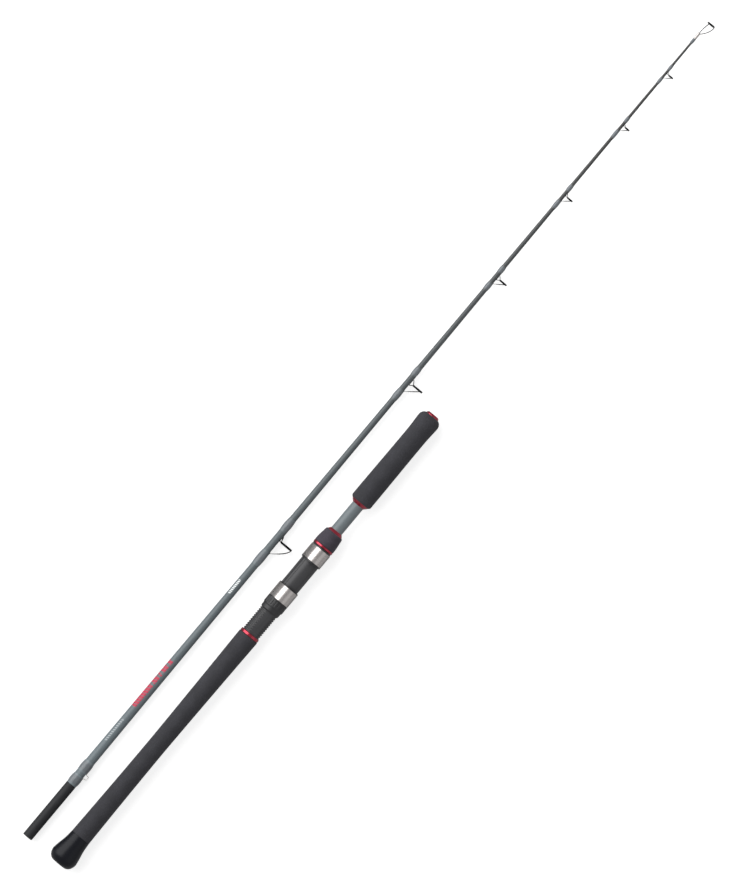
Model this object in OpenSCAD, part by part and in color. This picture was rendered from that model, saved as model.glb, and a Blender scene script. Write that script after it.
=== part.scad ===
// Two-piece spinning rod, laid out with its handle and its tip section side by side.
// X runs along both sections from the butt to the tip, Y across, Z up.
// The origin is the middle of the butt cap's end face, on the handle's axis.

/* [Handle] */
// Length of the butt cap
cap_length = 43.3; // [30:0.1:60]
// Largest radius of the butt cap
cap_r = 18.15; // [16:0.05:24]
// Radius of the butt cap's flat end
cap_end_r = 8.6; // [5:0.1:12]
// Length of the rear grip
rear_grip_length = 328.7; // [200:0.1:450]
// Radius where the rear grip meets the butt cap
rear_grip_rear_r = 13.6; // [12:0.05:15.5]
// Radius of the rear grip's waist
rear_grip_waist_r = 12.1; // [11:0.05:13.5]
// Radius where the rear grip meets the reel seat
rear_grip_front_r = 14; // [13:0.05:16]
// Distance from the butt cap to the waist
waist_from_cap = 147.7; // [80:0.1:190]
// Outer radius of the handle's tube
handle_tube_r = 8.2; // [7.9:0.05:9.85]
// Wall of the handle's tube behind the socket
handle_tube_wall = 1.6; // [1.4:0.05:2.4]
// Bare tube between the cone grip and the foregrip
bare_length = 42.1; // [20:0.1:90]
// Length of the foregrip
foregrip_length = 141; // [110:0.1:220]
// Radius of the foregrip
foregrip_r = 14.75; // [13:0.05:17]
// How far the foregrip flares out near its front
foregrip_flare = 0.4; // [0:0.05:1.5]
// Length of the cone grip in front of the reel seat
cone_length = 20.7; // [14:0.1:40]
// Length of a trim ring on the handle
trim_length = 4.3; // [3:0.1:6]

/* [Reel seat] */
// Length of the reel seat's barrel
seat_length = 139.8; // [125:0.1:170]
// Radius of the surface that the reel foot lies on
seat_r = 12.65; // [12.5:0.05:13.4]
// Radius over the thread's crests
thread_r = 12.45; // [12.2:0.05:12.5]
// Depth of the thread
thread_depth = 0.9; // [0.4:0.05:1.1]
// Advance of the thread in one turn
thread_pitch = 3.2; // [2:0.1:4]
// Distance from the thread's front end to the mouth of the moving hood
thread_short_of_mouth = 3.3; // [2:0.1:6]
// Height of the keyway's flat over the axis
keyway_height = 10.7; // [10.6:0.05:11.2]
// Distance between the mouths of the two hoods
foot_gap = 41.2; // [30:0.1:50]
// Length of the fixed hood
fixed_hood_length = 23.3; // [20:0.1:30]
// Length of the moving hood
moving_hood_length = 20.9; // [19:0.1:26]
// Outer radius of the hoods' steel bands
band_r = 14.6; // [14.5:0.05:15.4]
// Wall of the steel bands
band_wall = 0.7; // [0.5:0.05:0.8]
// Bare lip in front of the fixed hood's band
hood_lip = 2.2; // [1:0.1:3]
// Bare lip in front of the moving hood's band
moving_lip = 1; // [0.8:0.1:3]
// Height of the hoods' raised roof centre over the axis
roof_up = 8; // [7.8:0.1:10]
// Radius of the pocket that takes the reel foot
pocket_r = 10; // [9.8:0.1:10.6]
// Depth of that pocket
pocket_depth = 12.5; // [8:0.1:12.5]
// Roof wall over the pocket
pocket_wall = 0.9; // [0.7:0.05:1.4]
// Length of the lock nut
nut_length = 18.3; // [14:0.1:24]
// Largest radius of the lock nut
nut_r = 14.5; // [14.2:0.05:15.4]
// Number of finger flutes round the lock nut
nut_flutes = 20; // [12:1:24]
// Turn of the reel seat's foot side from straight up
seat_roll = 12; // [0:1:20]

/* [Ferrule] */
// Length of the spigot, and of the socket's seat
spigot_length = 86.3; // [70:0.1:120]
// Radius of the spigot
spigot_r = 6.85; // [6.6:0.05:7.1]
// Wall of the spigot's black sleeve
spigot_wall = 0.6; // [0.4:0.05:0.8]
// Radial clearance of the spigot in the socket
socket_clearance = 0.03; // [0.01:0.01:0.05]

/* [Tip section] */
// Distance from the spigot's end to the tip-top ring
tip_length = 1334; // [1060:1:1650]
// Distance between the two sections' axes
section_spacing = 51.5; // [46:0.1:120]
// Radius of the tip blank just ahead of the spigot
blank_butt_r = 6.55; // [6.4:0.05:6.8]
// Radius of the tip blank at its thin end
blank_tip_r = 1.35; // [1.2:0.05:1.8]
// Wall of the tip blank
blank_wall = 0.85; // [0.6:0.05:1]
// Length of the hook keeper's loop
keeper_length = 6.2; // [5:0.1:10]
// Height of the hook keeper's loop over the blank
keeper_height = 5; // [4:0.1:9]
// Wire of the hook keeper
fine_wire = 0.8; // [0.6:0.05:1.2]
// Length of the wrap behind the hook keeper
keeper_wrap_rear = 15.5; // [10:0.1:20]
// Length of the wrap in front of the hook keeper
keeper_wrap_front = 16.4; // [12:0.1:24]
// Bare stretch between the hook keeper's wraps
keeper_gap = 5; // [3:0.1:8]

/* [Guides] */
// Distance of each guide's ring behind the tip-top ring
guide_from_tip = [845.4, 587.8, 416.4, 282.4, 168.2, 82.8]; // [60:0.1:900]
// Outer radius of each guide's ring
guide_ring_r = [8.85, 7.5, 5.6, 4.35, 3.5, 3.5]; // [3:0.05:12]
// Reach of each guide from the blank's axis
guide_reach = [24.5, 22.9, 17.8, 13.7, 11.4, 11.4]; // [10:0.1:30]
// Distance from each ring back to its rear wrap
guide_rear = [19.6, 12.6, 8.6, 7.6, 6.8, 6.4]; // [5:0.1:30]
// Distance from each ring forward to its front wrap
guide_front = [11.4, 8.8, 5.9, 5.2, 3.8, 3.8]; // [3:0.1:16]
// Length of each guide's rear wrap
guide_rear_wrap = [23, 17.4, 13, 15, 15, 11]; // [8:0.1:30]
// Length of each guide's front wrap
guide_front_wrap = [20, 14, 11.5, 12, 10, 10]; // [8:0.1:30]
// Thickness of each guide's wire
guide_wire = [1.3, 1.05, 0.9, 0.8, 0.75, 0.75]; // [0.6:0.05:2]
// Angle from the far side of each ring to where its rear legs meet it
guide_meet = [20, 50, 50, 50, 50, 50]; // [15:1:70]
// How far behind each ring its brace meets the blank
guide_brace = [0, 3, 2.6, 0, 0, 0]; // [0:0.1:5]
// Outer radius of the tip-top ring
tip_ring_r = 5.5; // [4:0.05:7]
// Wire of the tip-top's legs
tip_wire = 1; // [0.8:0.05:1.4]
// Length of the tip-top's tube
tip_tube_length = 12; // [8:0.1:18]
// Distance from the tip-top's tube to its ring
tip_leg_length = 17; // [12:0.1:24]

/* [Hidden] */
$fn = 96;
fit = 0.07;              // radial clearance of what turns or slides on the barrel
slip = 0.2;              // gap between the lock nut and the moving hood
leg_fn = 8;              // sides of a guide's wire

// Places along the handle, each after the piece behind it
grip_x = cap_length;
rear_trim_x = grip_x + rear_grip_length;
seat_x = rear_trim_x + trim_length;
mid_trim_x = seat_x + seat_length;
mid_trim_length = trim_length - 0.6;
cone_x = mid_trim_x + mid_trim_length;
cone_trim_x = cone_x + cone_length;
cone_trim_length = trim_length - 0.5;
bare_x = cone_trim_x + cone_trim_length;
fore_trim_x = bare_x + bare_length;
fore_x = fore_trim_x + trim_length;
fore_trim_r = foregrip_r - 2.2;
trim_seat = 1.3;
mouth_rim = 1.3;
fore_end = fore_x + foregrip_length;
front_seat_r = handle_tube_r + 1.1;
front_trim_x = fore_end - trim_seat;
front_rim_x = front_trim_x + trim_length;
handle_end = front_rim_x - mouth_rim;
tube_start = 6;

// Places along the reel seat
hood_x = mid_trim_x - fixed_hood_length;
mouth_x = hood_x - foot_gap;
moving_x = mouth_x - moving_hood_length;
nut_x = moving_x - slip - nut_length;
thread_end = mouth_x - thread_short_of_mouth;
hood_r = band_r - band_wall;
roof_r = pocket_r + pocket_wall;
ride_r = seat_r + fit;
nut_bore_r = thread_r + fit;
neck_r = (hood_r + nut_bore_r) / 2;
neck_length = 3;
hood_tail = 1.9;
arbor_r = thread_r - thread_depth - 1.35;
arbor_length = 22;

// Sizes of the ferrule and the tip section
socket_r = spigot_r + socket_clearance;
socket_bottom = handle_end - spigot_length - 2;
sleeve_bore_r = spigot_r - spigot_wall;
wrap_2_x = spigot_length + keeper_wrap_rear + keeper_gap;
tube_end = tip_length - tip_leg_length;
blank_end = tube_end - 1;
tip_tube_x = tube_end - tip_tube_length;
tip_tube_r = blank_tip_r + 0.55;
solid_from = tip_length - 234;
tip_up = guide_ring_r[0] - cap_r;

// Radius of the tip blank at x
function blank_r(x) = blank_butt_r
    + (blank_tip_r - blank_butt_r) * (x - spigot_length) / (blank_end - spigot_length);

// Radius of the rear grip at x
function rear_grip_r(x) =
    let (waist = grip_x + waist_from_cap)
    x < waist
        ? rear_grip_waist_r + (rear_grip_rear_r - rear_grip_waist_r)
            * pow((waist - x) / waist_from_cap, 1.6)
        : rear_grip_waist_r + (rear_grip_front_r - rear_grip_waist_r)
            * pow((x - waist) / (rear_trim_x - waist), 1.3);

// Points of a Catmull-Rom curve through points p, with n steps between each two
function curve(p, n) = [
    for (i = [0:len(p) - 2], k = [0:n - 1]) let (
        a = p[max(i - 1, 0)], b = p[i], c = p[i + 1], d = p[min(i + 2, len(p) - 1)],
        t = k / n
    ) 0.5 * (2 * b + (c - a) * t + (2 * a - 5 * b + 4 * c - d) * t * t
        + (3 * b - a - 3 * c + d) * t * t * t),
    p[len(p) - 1]
];

// Points of the quarter of an ellipse that leaves [x, r] along r and ends dx on and dr out
function quarter(x, r, dx, dr, n) = [
    for (k = [0:n]) [x + dx * (1 - cos(90 * k / n)), r + dr * sin(90 * k / n)]
];

function unit(v) = v / norm(v);
function along(p, i) = unit(p[min(i + 1, len(p) - 1)] - p[max(i - 1, 0)]);
function bent(a, b, c, n) = [
    for (k = [0:n]) let (t = k / n) a * (1 - t) * (1 - t) + b * 2 * t * (1 - t) + c * t * t
];

// A solid turned about the X axis from [x, radius] points
module turned(points) {
    rotate([0, 90, 0]) rotate_extrude() polygon([for (p = points) [p[1], p[0]]]);
}

// A turned sleeve with outer points and one bore
module sleeve(points, bore_r) {
    x0 = points[0][0];
    x1 = points[len(points) - 1][0];
    turned(concat(points, [[x1, bore_r], [x0, bore_r]]));
}

// A plain ring from x0 to x1
module ring(x0, x1, r, bore_r) {
    sleeve([[x0, r], [x1, r]], bore_r);
}

// A wire along a path, w wide along Z and t thick, with a size for each point
module wire(path, w, t) {
    rings = len(path);
    points = [
        for (i = [0:rings - 1]) let (
            d = along(path, i), u = unit(cross([0, 0, 1], d)), v = cross(d, u)
        ) for (k = [0:leg_fn - 1]) let (a = 360 * (k + 0.5) / leg_fn)
            path[i] + u * t[i] / 2 * cos(a) + v * w[i] / 2 * sin(a)
    ];
    sides = [
        for (i = [0:rings - 2], k = [0:leg_fn - 1]) let (n = (k + 1) % leg_fn)
            [i * leg_fn + k, (i + 1) * leg_fn + k, (i + 1) * leg_fn + n, i * leg_fn + n]
    ];
    first = [for (k = [0:leg_fn - 1]) k];
    last = [for (k = [leg_fn - 1:-1:0]) (rings - 1) * leg_fn + k];
    polyhedron(points, concat(sides, [first, last]));
}

// A wire d thick along a path, which starts start_d thick and reaches d a third of the way on
module even_wire(path, d, start_d) {
    n = (len(path) - 1) / 3;
    sizes = [for (i = [0:len(path) - 1]) start_d + (d - start_d) * min(1, i / n)];
    wire(path, sizes, sizes);
}

// ---- Handle ----

module butt_cap() {
    neck = curve([
        [cap_length * 0.29, cap_r],
        [cap_length * 0.48, cap_r - (cap_r - rear_grip_rear_r) * 0.29],
        [cap_length * 0.72, rear_grip_rear_r + (cap_r - rear_grip_rear_r) * 0.25],
        [cap_length, rear_grip_rear_r]
    ], 5);
    dome = quarter(0, cap_end_r, cap_length * 0.29, cap_r - cap_end_r, 8);
    color([0.09, 0.1, 0.14]) turned(concat(
        [[0, 0]], dome, [for (k = [1:len(neck) - 1]) neck[k]],
        [[cap_length, handle_tube_r], [tube_start, handle_tube_r], [tube_start, 0]]
    ));
}

module rear_grip() {
    steps = 24;
    color([0.24, 0.24, 0.26]) sleeve([
        for (k = [0:steps]) let (x = grip_x + rear_grip_length * k / steps) [x, rear_grip_r(x)]
    ], handle_tube_r);
}

module handle_tube() {
    inner_r = handle_tube_r - handle_tube_wall;
    color([0.45, 0.49, 0.51]) turned([
        [tube_start, inner_r], [tube_start, handle_tube_r],
        [handle_end, handle_tube_r], [handle_end, socket_r],
        [socket_bottom, socket_r], [socket_bottom, inner_r]
    ]);
}

// A trim ring with rounded edges, sitting from x0 with radius r
module trim_ring(x0, length, r, bore_r) {
    soft = 1;
    color([0.78, 0.12, 0.2]) sleeve(concat(
        quarter(x0, r - soft, soft, soft, 4),
        [for (k = [4:-1:0]) [x0 + length - soft * (1 - cos(22.5 * k)),
            r - soft + soft * sin(22.5 * k)]]
    ), bore_r);
}

// Points of a trim ring that rounds over from radius r0 at x0 to r1 at x1
function dome(x0, x1, r0, r1) = bent(
    [x0, r0], [x0 + (x1 - x0) * 0.4, r1 + (r0 - r1) * 0.7], [x1, r1], 8
);

module rear_trim_ring() {
    trim_ring(rear_trim_x, trim_length, rear_grip_front_r - 0.4, handle_tube_r);
}

// The foot side of the reel seat is turned to seat_roll
module on_seat() {
    rotate([seat_roll, 0, 0]) children();
}

// A cut or block on the foot side, from x0 to x1, w wide and from z0 to z1
module block(x0, x1, w, z0, z1) {
    translate([x0, -w / 2, z0]) cube([x1 - x0, w, z1 - z0]);
}

module seat_barrel() {
    root_r = thread_r - thread_depth;
    turns = floor((thread_end - seat_x) / thread_pitch);
    crests = [
        for (i = [0:turns - 1], q = [[0.1, 0], [0.3, 1], [0.6, 1], [0.8, 0]])
            [seat_x + thread_pitch * (i + q[0]), root_r + thread_depth * q[1]]
    ];
    color([0.22, 0.22, 0.24]) on_seat() difference() {
        sleeve(concat(
            [[seat_x, root_r]], crests,
            [[thread_end, root_r], [thread_end, seat_r], [mid_trim_x, seat_r]]
        ), arbor_r);
        block(seat_x - 1, thread_end, 2 * seat_r, keyway_height, seat_r + 1);
    }
}

module seat_arbor(x0) {
    color([0.6, 0.6, 0.58]) ring(x0, x0 + arbor_length, arbor_r, handle_tube_r);
}

// Outline of a hood: a round body with a raised roof, tangent to each other
module hood_outline(body_r, top_r) {
    meet = asin((body_r - top_r) / roof_up);
    steps = 12;
    polygon(concat(
        [for (k = [0:steps]) let (a = meet + (180 - 2 * meet) * k / steps)
            [top_r * cos(a), roof_up + top_r * sin(a)]],
        [for (k = [0:2 * steps]) let (a = 180 - meet + (180 + 2 * meet) * k / (2 * steps))
            [body_r * cos(a), body_r * sin(a)]]
    ));
}

// A hood's outline as a solid from x0 to x1, raised towards Z
module hood_solid(x0, x1, body_r, top_r) {
    translate([x0, 0, 0]) rotate([90, 0, 90]) linear_extrude(x1 - x0) hood_outline(body_r, top_r);
}

module bore(x0, x1, r) {
    translate([x0, 0, 0]) rotate([0, 90, 0]) cylinder(h = x1 - x0, r = r);
}

module pocket(x0, x1) {
    translate([0, 0, roof_up]) bore(x0, x1, pocket_r);
}

// The steel band of a hood, from x0 to x1
module hood_band(x0, x1) {
    color([0.74, 0.72, 0.72]) on_seat() difference() {
        hood_solid(x0, x1, band_r, roof_r + band_wall);
        hood_solid(x0 - 1, x1 + 1, hood_r, roof_r);
    }
}

module fixed_hood() {
    color([0.17, 0.17, 0.18]) on_seat() difference() {
        union() {
            hood_solid(hood_x, hood_x + hood_lip, band_r - 0.1, roof_r + band_wall - 0.1);
            hood_solid(hood_x + hood_lip, mid_trim_x, hood_r, roof_r);
        }
        bore(hood_x - 1, mid_trim_x + 1, seat_r);
        pocket(hood_x - 1, hood_x + pocket_depth);
    }
}

module fixed_hood_band() {
    hood_band(hood_x + hood_lip, mid_trim_x - hood_tail);
}

module mid_trim_ring() {
    trim_ring(mid_trim_x, mid_trim_length, band_r, handle_tube_r);
}

module cone_grip() {
    drop = 1.3;
    color([0.3, 0.29, 0.32]) sleeve(concat(
        [for (k = [0:6]) let (t = k / 6)
            [cone_x + cone_length * 0.72 * t, band_r - drop * t * t]],
        [for (k = [1:6]) [cone_x + cone_length * (0.72 + 0.28 * sin(15 * k)),
            band_r - drop - 1.6 * (1 - cos(15 * k))]]
    ), handle_tube_r);
}

module cone_trim_ring() {
    color([0.78, 0.12, 0.2])
        sleeve(dome(cone_trim_x, bare_x, band_r - 3.2, handle_tube_r + 0.4), handle_tube_r);
}

// The foregrip's rear ring is a cone that rises to the foam, with a seat inside the foam
module foregrip_rear_trim() {
    rise = dome(fore_x, fore_trim_x, fore_trim_r, handle_tube_r + 0.4);
    seat_r = fore_trim_r - 1.2;
    color([0.78, 0.12, 0.2]) sleeve(concat(
        [for (k = [len(rise) - 1:-1:0]) rise[k]],
        [[fore_x, seat_r], [fore_x + trim_seat, seat_r]]
    ), handle_tube_r);
}

// The foregrip is chamfered behind, has a slight waist, flares near its front and rounds over
module foregrip() {
    full_r = foregrip_r + foregrip_flare;
    waist_x = fore_x + foregrip_length * 0.75;
    waist_r = foregrip_r - 0.5;
    flare_x = fore_end - 11;
    rear_seat_r = fore_trim_r - 1.2;
    color([0.24, 0.24, 0.26]) turned(concat(
        [[fore_x, fore_trim_r + 0.2], [fore_x + 1.6, foregrip_r - 0.5],
            [fore_x + 2.3, foregrip_r - 0.1], [fore_x + 3.2, foregrip_r]],
        [for (k = [1:6]) let (t = k / 6)
            [fore_x + 3.2 + (waist_x - fore_x - 3.2) * t,
                waist_r + (foregrip_r - waist_r) * (1 + cos(180 * t)) / 2]],
        [for (k = [1:6]) let (t = k / 6)
            [waist_x + (flare_x - waist_x) * t, waist_r + (full_r - waist_r) * (1 - cos(90 * t))]],
        bent([fore_end - 7.2, full_r], [fore_end - 1.8, full_r - 0.95],
            [fore_end, front_seat_r + 0.4], 8),
        [[fore_end, front_seat_r], [front_trim_x, front_seat_r], [front_trim_x, handle_tube_r],
            [fore_x + trim_seat, handle_tube_r], [fore_x + trim_seat, rear_seat_r],
            [fore_x, rear_seat_r]]
    ));
}

// The front ring caps the end of the tube and rims the socket's mouth
module foregrip_front_trim() {
    color([0.78, 0.12, 0.2]) turned(concat(
        [[front_trim_x, front_seat_r], [fore_end, front_seat_r]],
        bent([fore_end + 0.3, front_seat_r], [fore_end + 2, front_seat_r - 0.5],
            [front_rim_x, socket_r + 0.35], 6),
        [[front_rim_x, socket_r], [handle_end, socket_r], [handle_end, handle_tube_r],
            [front_trim_x, handle_tube_r]]
    ));
}

// ---- Moving hood and lock nut ----

module moving_hood() {
    key_x = moving_x + neck_length + slip;
    pocket_x = mouth_x - pocket_depth;
    color([0.17, 0.17, 0.18]) on_seat() difference() {
        union() {
            difference() {
                union() {
                    hood_solid(moving_x, mouth_x - moving_lip, hood_r, roof_r);
                    hood_solid(mouth_x - moving_lip, mouth_x, band_r - 0.1, roof_r + band_wall - 0.1);
                }
                bore(moving_x - 1, mouth_x + 1, ride_r);
            }
            block(key_x, pocket_x - 0.5, 9, keyway_height + fit, seat_r + 0.6);
        }
        bore(moving_x - 1, key_x, neck_r + fit / 2);
        pocket(pocket_x, mouth_x + 1);
    }
}

module moving_hood_band() {
    hood_band(moving_x, mouth_x - moving_lip);
}

module lock_nut() {
    end = nut_x + nut_length;
    color([0.14, 0.14, 0.16]) difference() {
        sleeve([
            [nut_x, nut_r - 1.9], [nut_x + 1.2, nut_r - 1.1], [nut_x + 6, nut_r - 1],
            [nut_x + 7, nut_r - 0.3], [nut_x + 8.5, nut_r], [end - 0.6, nut_r],
            [end, nut_r - 0.6], [end, neck_r - fit / 2], [end + slip + neck_length, neck_r - fit / 2]
        ], nut_bore_r);
        for (k = [0:nut_flutes - 1]) rotate([360 * k / nut_flutes, 0, 0])
            translate([0, 0, nut_r + 0.4]) bore(nut_x + 8, end - 2, 0.9);
    }
}

// ---- Tip section ----

// Puts what is made about the tip blank's own axis in its place beside the handle.
// The guides stand out towards -Y, so both sections lie on one flat surface.
module on_tip() {
    translate([0, section_spacing, tip_up]) children();
}

module spigot_sleeve() {
    color([0.21, 0.21, 0.23]) on_tip() sleeve([
        [0, spigot_r - 0.5], [0.6, spigot_r], [spigot_length, spigot_r]
    ], sleeve_bore_r);
}

module tip_blank() {
    step = 0.4;
    inner_end = blank_r(solid_from) - blank_wall;
    color([0.42, 0.46, 0.48]) on_tip() turned([
        [step, sleeve_bore_r - blank_wall], [step, sleeve_bore_r],
        [spigot_length, sleeve_bore_r], [spigot_length, blank_r(spigot_length)],
        [blank_end, blank_tip_r], [blank_end, 0], [solid_from, 0], [solid_from, inner_end],
        [spigot_length + 10, sleeve_bore_r - blank_wall]
    ]);
}

// Thread and resin from x0 to x1 that swell by rise in the middle, over the blank
module wrap(x0, x1, rise) {
    edge = 0.12;
    steps = 14;
    color([0.55, 0.58, 0.61]) on_tip() turned(concat(
        [for (k = [0:steps]) let (x = x0 + (x1 - x0) * k / steps)
            [x, blank_r(x) + edge + (rise - edge) * pow(sin(180 * k / steps), 0.75)]],
        [[x1, blank_r(x1)], [x0, blank_r(x0)]]
    ));
}

module keeper_wrap_1() {
    wrap(spigot_length, spigot_length + keeper_wrap_rear, 1.05);
}

module keeper_wrap_2() {
    wrap(wrap_2_x, wrap_2_x + keeper_wrap_front, 0.95);
}

// The hook keeper's wire runs under both wraps and stands out in a loop between them
module hook_keeper() {
    mid = spigot_length + keeper_wrap_rear + keeper_gap / 2;
    low = blank_r(mid) + fine_wire / 2 + 0.05;
    top = blank_r(mid) + keeper_height - fine_wire / 2;
    half = keeper_length / 2 - fine_wire / 2;
    color([0.7, 0.71, 0.72]) on_tip() even_wire(curve([
        [mid - half - 5.5, -low, 0], [mid - half - 1.2, -low, 0], [mid - half, -low - 1.2, 0],
        [mid - half, 0.7 - top, 0], [mid - half + 0.9, -top, 0],
        [mid + half - 0.9, -top, 0], [mid + half, 0.7 - top, 0],
        [mid + half, -low - 1.2, 0], [mid + half + 1.2, -low, 0], [mid + half + 5.5, -low, 0]
    ], 3), fine_wire, fine_wire);
}

// ---- Guides ----

// Sizes of guide k's foot and how far its wraps swell over the blank
function foot_w(k) = 2 * guide_wire[k];
function foot_t(k) = 0.42 * guide_wire[k];
function guide_x(k) = tip_length - guide_from_tip[k];
function wrap_rise(k, x) =
    norm([blank_r(x) + foot_t(k) + 0.04, foot_w(k) / 2]) - blank_r(x) + 0.1;
function holder_wall(r) = 0.5 + 0.05 * r;
function holder_width(r) = 1.2 + 0.13 * r;
function insert_wall(r) = 0.4 + 0.07 * r;
function ring_bore_r(r) = r - holder_wall(r) - insert_wall(r);

// The ring's metal holder, about its own centre at the origin
module holder(r) {
    half = holder_width(r) / 2;
    inner = r - holder_wall(r);
    turned([[-half, inner], [-half, r - 0.25], [0.25 - half, r], [half - 0.25, r],
        [half, r - 0.25], [half, inner]]);
}

// The ring's hard insert, rounded towards the line on both sides of a short land
module insert(r) {
    half = holder_width(r) / 2 + 0.15;
    land = half * 0.4;
    outer = r - holder_wall(r);
    lip = insert_wall(r) * 0.6;
    edge_r = ring_bore_r(r) + lip;
    turned(concat(
        [[-half, outer], [half, outer]],
        [for (k = [0:3]) [land + (half - land) * cos(30 * k), edge_r - lip * sin(30 * k)]],
        [for (k = [3:-1:0]) [-land - (half - land) * cos(30 * k), edge_r - lip * sin(30 * k)]]
    ));
}

// A foot that lies on the blank from x0 to x1, ground thin at its x0 end
module foot(k, x0, x1) {
    steps = 6;
    path = [
        for (i = [0:steps]) let (x = x0 + (x1 - x0) * i / steps, t = foot_t(k) * min(1, 0.4 + 0.3 * i))
            [x, -blank_r(x) - 0.04 - t / 2, 0]
    ];
    wire(path, [for (i = [0:steps]) foot_w(k) * min(1, 0.55 + 0.2 * i)],
        [for (i = [0:steps]) foot_t(k) * min(1, 0.4 + 0.3 * i)]);
}

// Guide k: two feet, two rear legs that bow out to the ring's far side, and a front strut
module guide_frame(k) {
    x = guide_x(k);
    r = guide_ring_r[k];
    d = guide_wire[k];
    centre = guide_reach[k] - r;
    mid_r = r - holder_wall(r) / 2;
    rear_x = x - guide_rear[k];
    front_x = x + guide_front[k];
    rear_low = blank_r(rear_x) + foot_t(k) / 2 + 0.04;
    front_low = blank_r(front_x) + foot_t(k) / 2 + 0.04;
    bore_r = r - holder_wall(r);
    leg_r = bore_r + d / 2 + 0.05;
    meet = guide_meet[k];
    bow = k == 0 ? [0.9, 0.62] : [-0.1, 1.35];
    color([0.24, 0.24, 0.26]) on_tip() union() {
        translate([x, -centre, 0]) holder(r);
        foot(k, rear_x - guide_rear_wrap[k] * 0.8, rear_x + d * 0.6);
        foot(k, front_x + guide_front_wrap[k] * 0.8, x - guide_brace[k] - d * 0.3);
        difference() {
            for (side = [-1, 1]) even_wire(bent(
                [rear_x - d * 0.5, -rear_low, side * foot_w(k) * 0.22],
                [rear_x + guide_rear[k] * 0.62, -centre - mid_r * bow[0], side * mid_r * bow[1]],
                [x - d * 0.2, -centre - leg_r * cos(meet), side * leg_r * sin(meet)], 9
            ), d, foot_t(k));
            translate([x, -centre, 0]) bore(-holder_width(r), holder_width(r), bore_r + 0.02);
        }
        even_wire(bent(
            [front_x - guide_front[k] * 0.25, -front_low, 0],
            [x + guide_front[k] * 0.45, -(front_low + centre - mid_r) / 2, 0],
            [x + d * 0.2, -centre + mid_r, 0], 6
        ), d, foot_t(k));
        even_wire([
            [x - guide_brace[k], -front_low, 0],
            [x - guide_brace[k] / 2, -(front_low + centre - mid_r) / 2, 0],
            [x, -centre + mid_r, 0]
        ], d, d);
    }
}

module guide_ring(k) {
    color([0.13, 0.13, 0.14]) on_tip()
        translate([guide_x(k), guide_ring_r[k] - guide_reach[k], 0]) insert(guide_ring_r[k]);
}

module guide_wrap_rear(k) {
    end = guide_x(k) - guide_rear[k];
    wrap(end - guide_rear_wrap[k], end, wrap_rise(k, end));
}

module guide_wrap_front(k) {
    start = guide_x(k) + guide_front[k];
    wrap(start, start + guide_front_wrap[k], wrap_rise(k, start));
}

// ---- Tip-top ----

tip_centre = tip_ring_r - 0.7;

module tip_top_frame() {
    bore_r = tip_ring_r - holder_wall(tip_ring_r);
    leg_r = bore_r + tip_wire / 2 + 0.05;
    side_angle = 62;
    leg_start = tube_end - 0.8;
    leg_end = tip_length - 0.2;
    bow_x = tube_end + tip_leg_length * 0.5;
    color([0.3, 0.3, 0.32]) on_tip() union() {
        ring(tip_tube_x, blank_end, tip_tube_r, blank_tip_r + 0.32);
        ring(blank_end, tube_end, tip_tube_r, 0.6);
        translate([tip_length, -tip_centre, 0]) holder(tip_ring_r);
        difference() {
            union() {
                for (side = [-1, 1]) even_wire(bent(
                    [leg_start, 0, side * (tip_tube_r - 0.3)],
                    [bow_x, 0.4, side * leg_r],
                    [leg_end, leg_r * cos(side_angle) - tip_centre, side * leg_r * sin(side_angle)], 8
                ), tip_wire, tip_wire);
                even_wire(bent(
                    [leg_start, 0.3 - tip_tube_r, 0], [bow_x, -tip_centre - leg_r * 1.1, 0],
                    [leg_end, -tip_centre - leg_r, 0], 8
                ), tip_wire, tip_wire);
            }
            translate([tip_length, -tip_centre, 0])
                bore(-holder_width(tip_ring_r), holder_width(tip_ring_r), bore_r + 0.02);
        }
    }
}

module tip_top_ring() {
    color([0.1, 0.1, 0.11]) on_tip() translate([tip_length, -tip_centre, 0]) insert(tip_ring_r);
}

module tip_top_wrap() {
    start = tip_tube_x - 6;
    wrap(start, tip_tube_x + 5, tip_tube_r - blank_tip_r + 0.15);
}

butt_cap();
rear_grip();
handle_tube();
rear_trim_ring();
seat_barrel();
seat_arbor(seat_x + 4);  // seat_arbor_rear
seat_arbor(hood_x);  // seat_arbor_front
fixed_hood();
fixed_hood_band();
mid_trim_ring();
cone_grip();
cone_trim_ring();
foregrip_rear_trim();
foregrip();
foregrip_front_trim();
moving_hood();
moving_hood_band();
lock_nut();
spigot_sleeve();
tip_blank();
keeper_wrap_1();
keeper_wrap_2();
hook_keeper();
for (k = [0:5]) {
    guide_frame(k);
    guide_ring(k);
    guide_wrap_rear(k);
    guide_wrap_front(k);
}
tip_top_frame();
tip_top_ring();
tip_top_wrap();
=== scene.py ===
"""Finished pieces of a two-piece spinning rod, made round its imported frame.

X runs from the butt to the tip. The handle lies on the X axis and the tip section beside it,
with its guides towards -Y. Every length is in metres; MM turns millimetres into metres.
"""

from math import atan2, cos, pi, radians, sin, tau

import bmesh
import bpy
from bpy.props import FloatProperty, FloatVectorProperty, IntProperty, PointerProperty
from mathutils import Matrix, Vector


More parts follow.
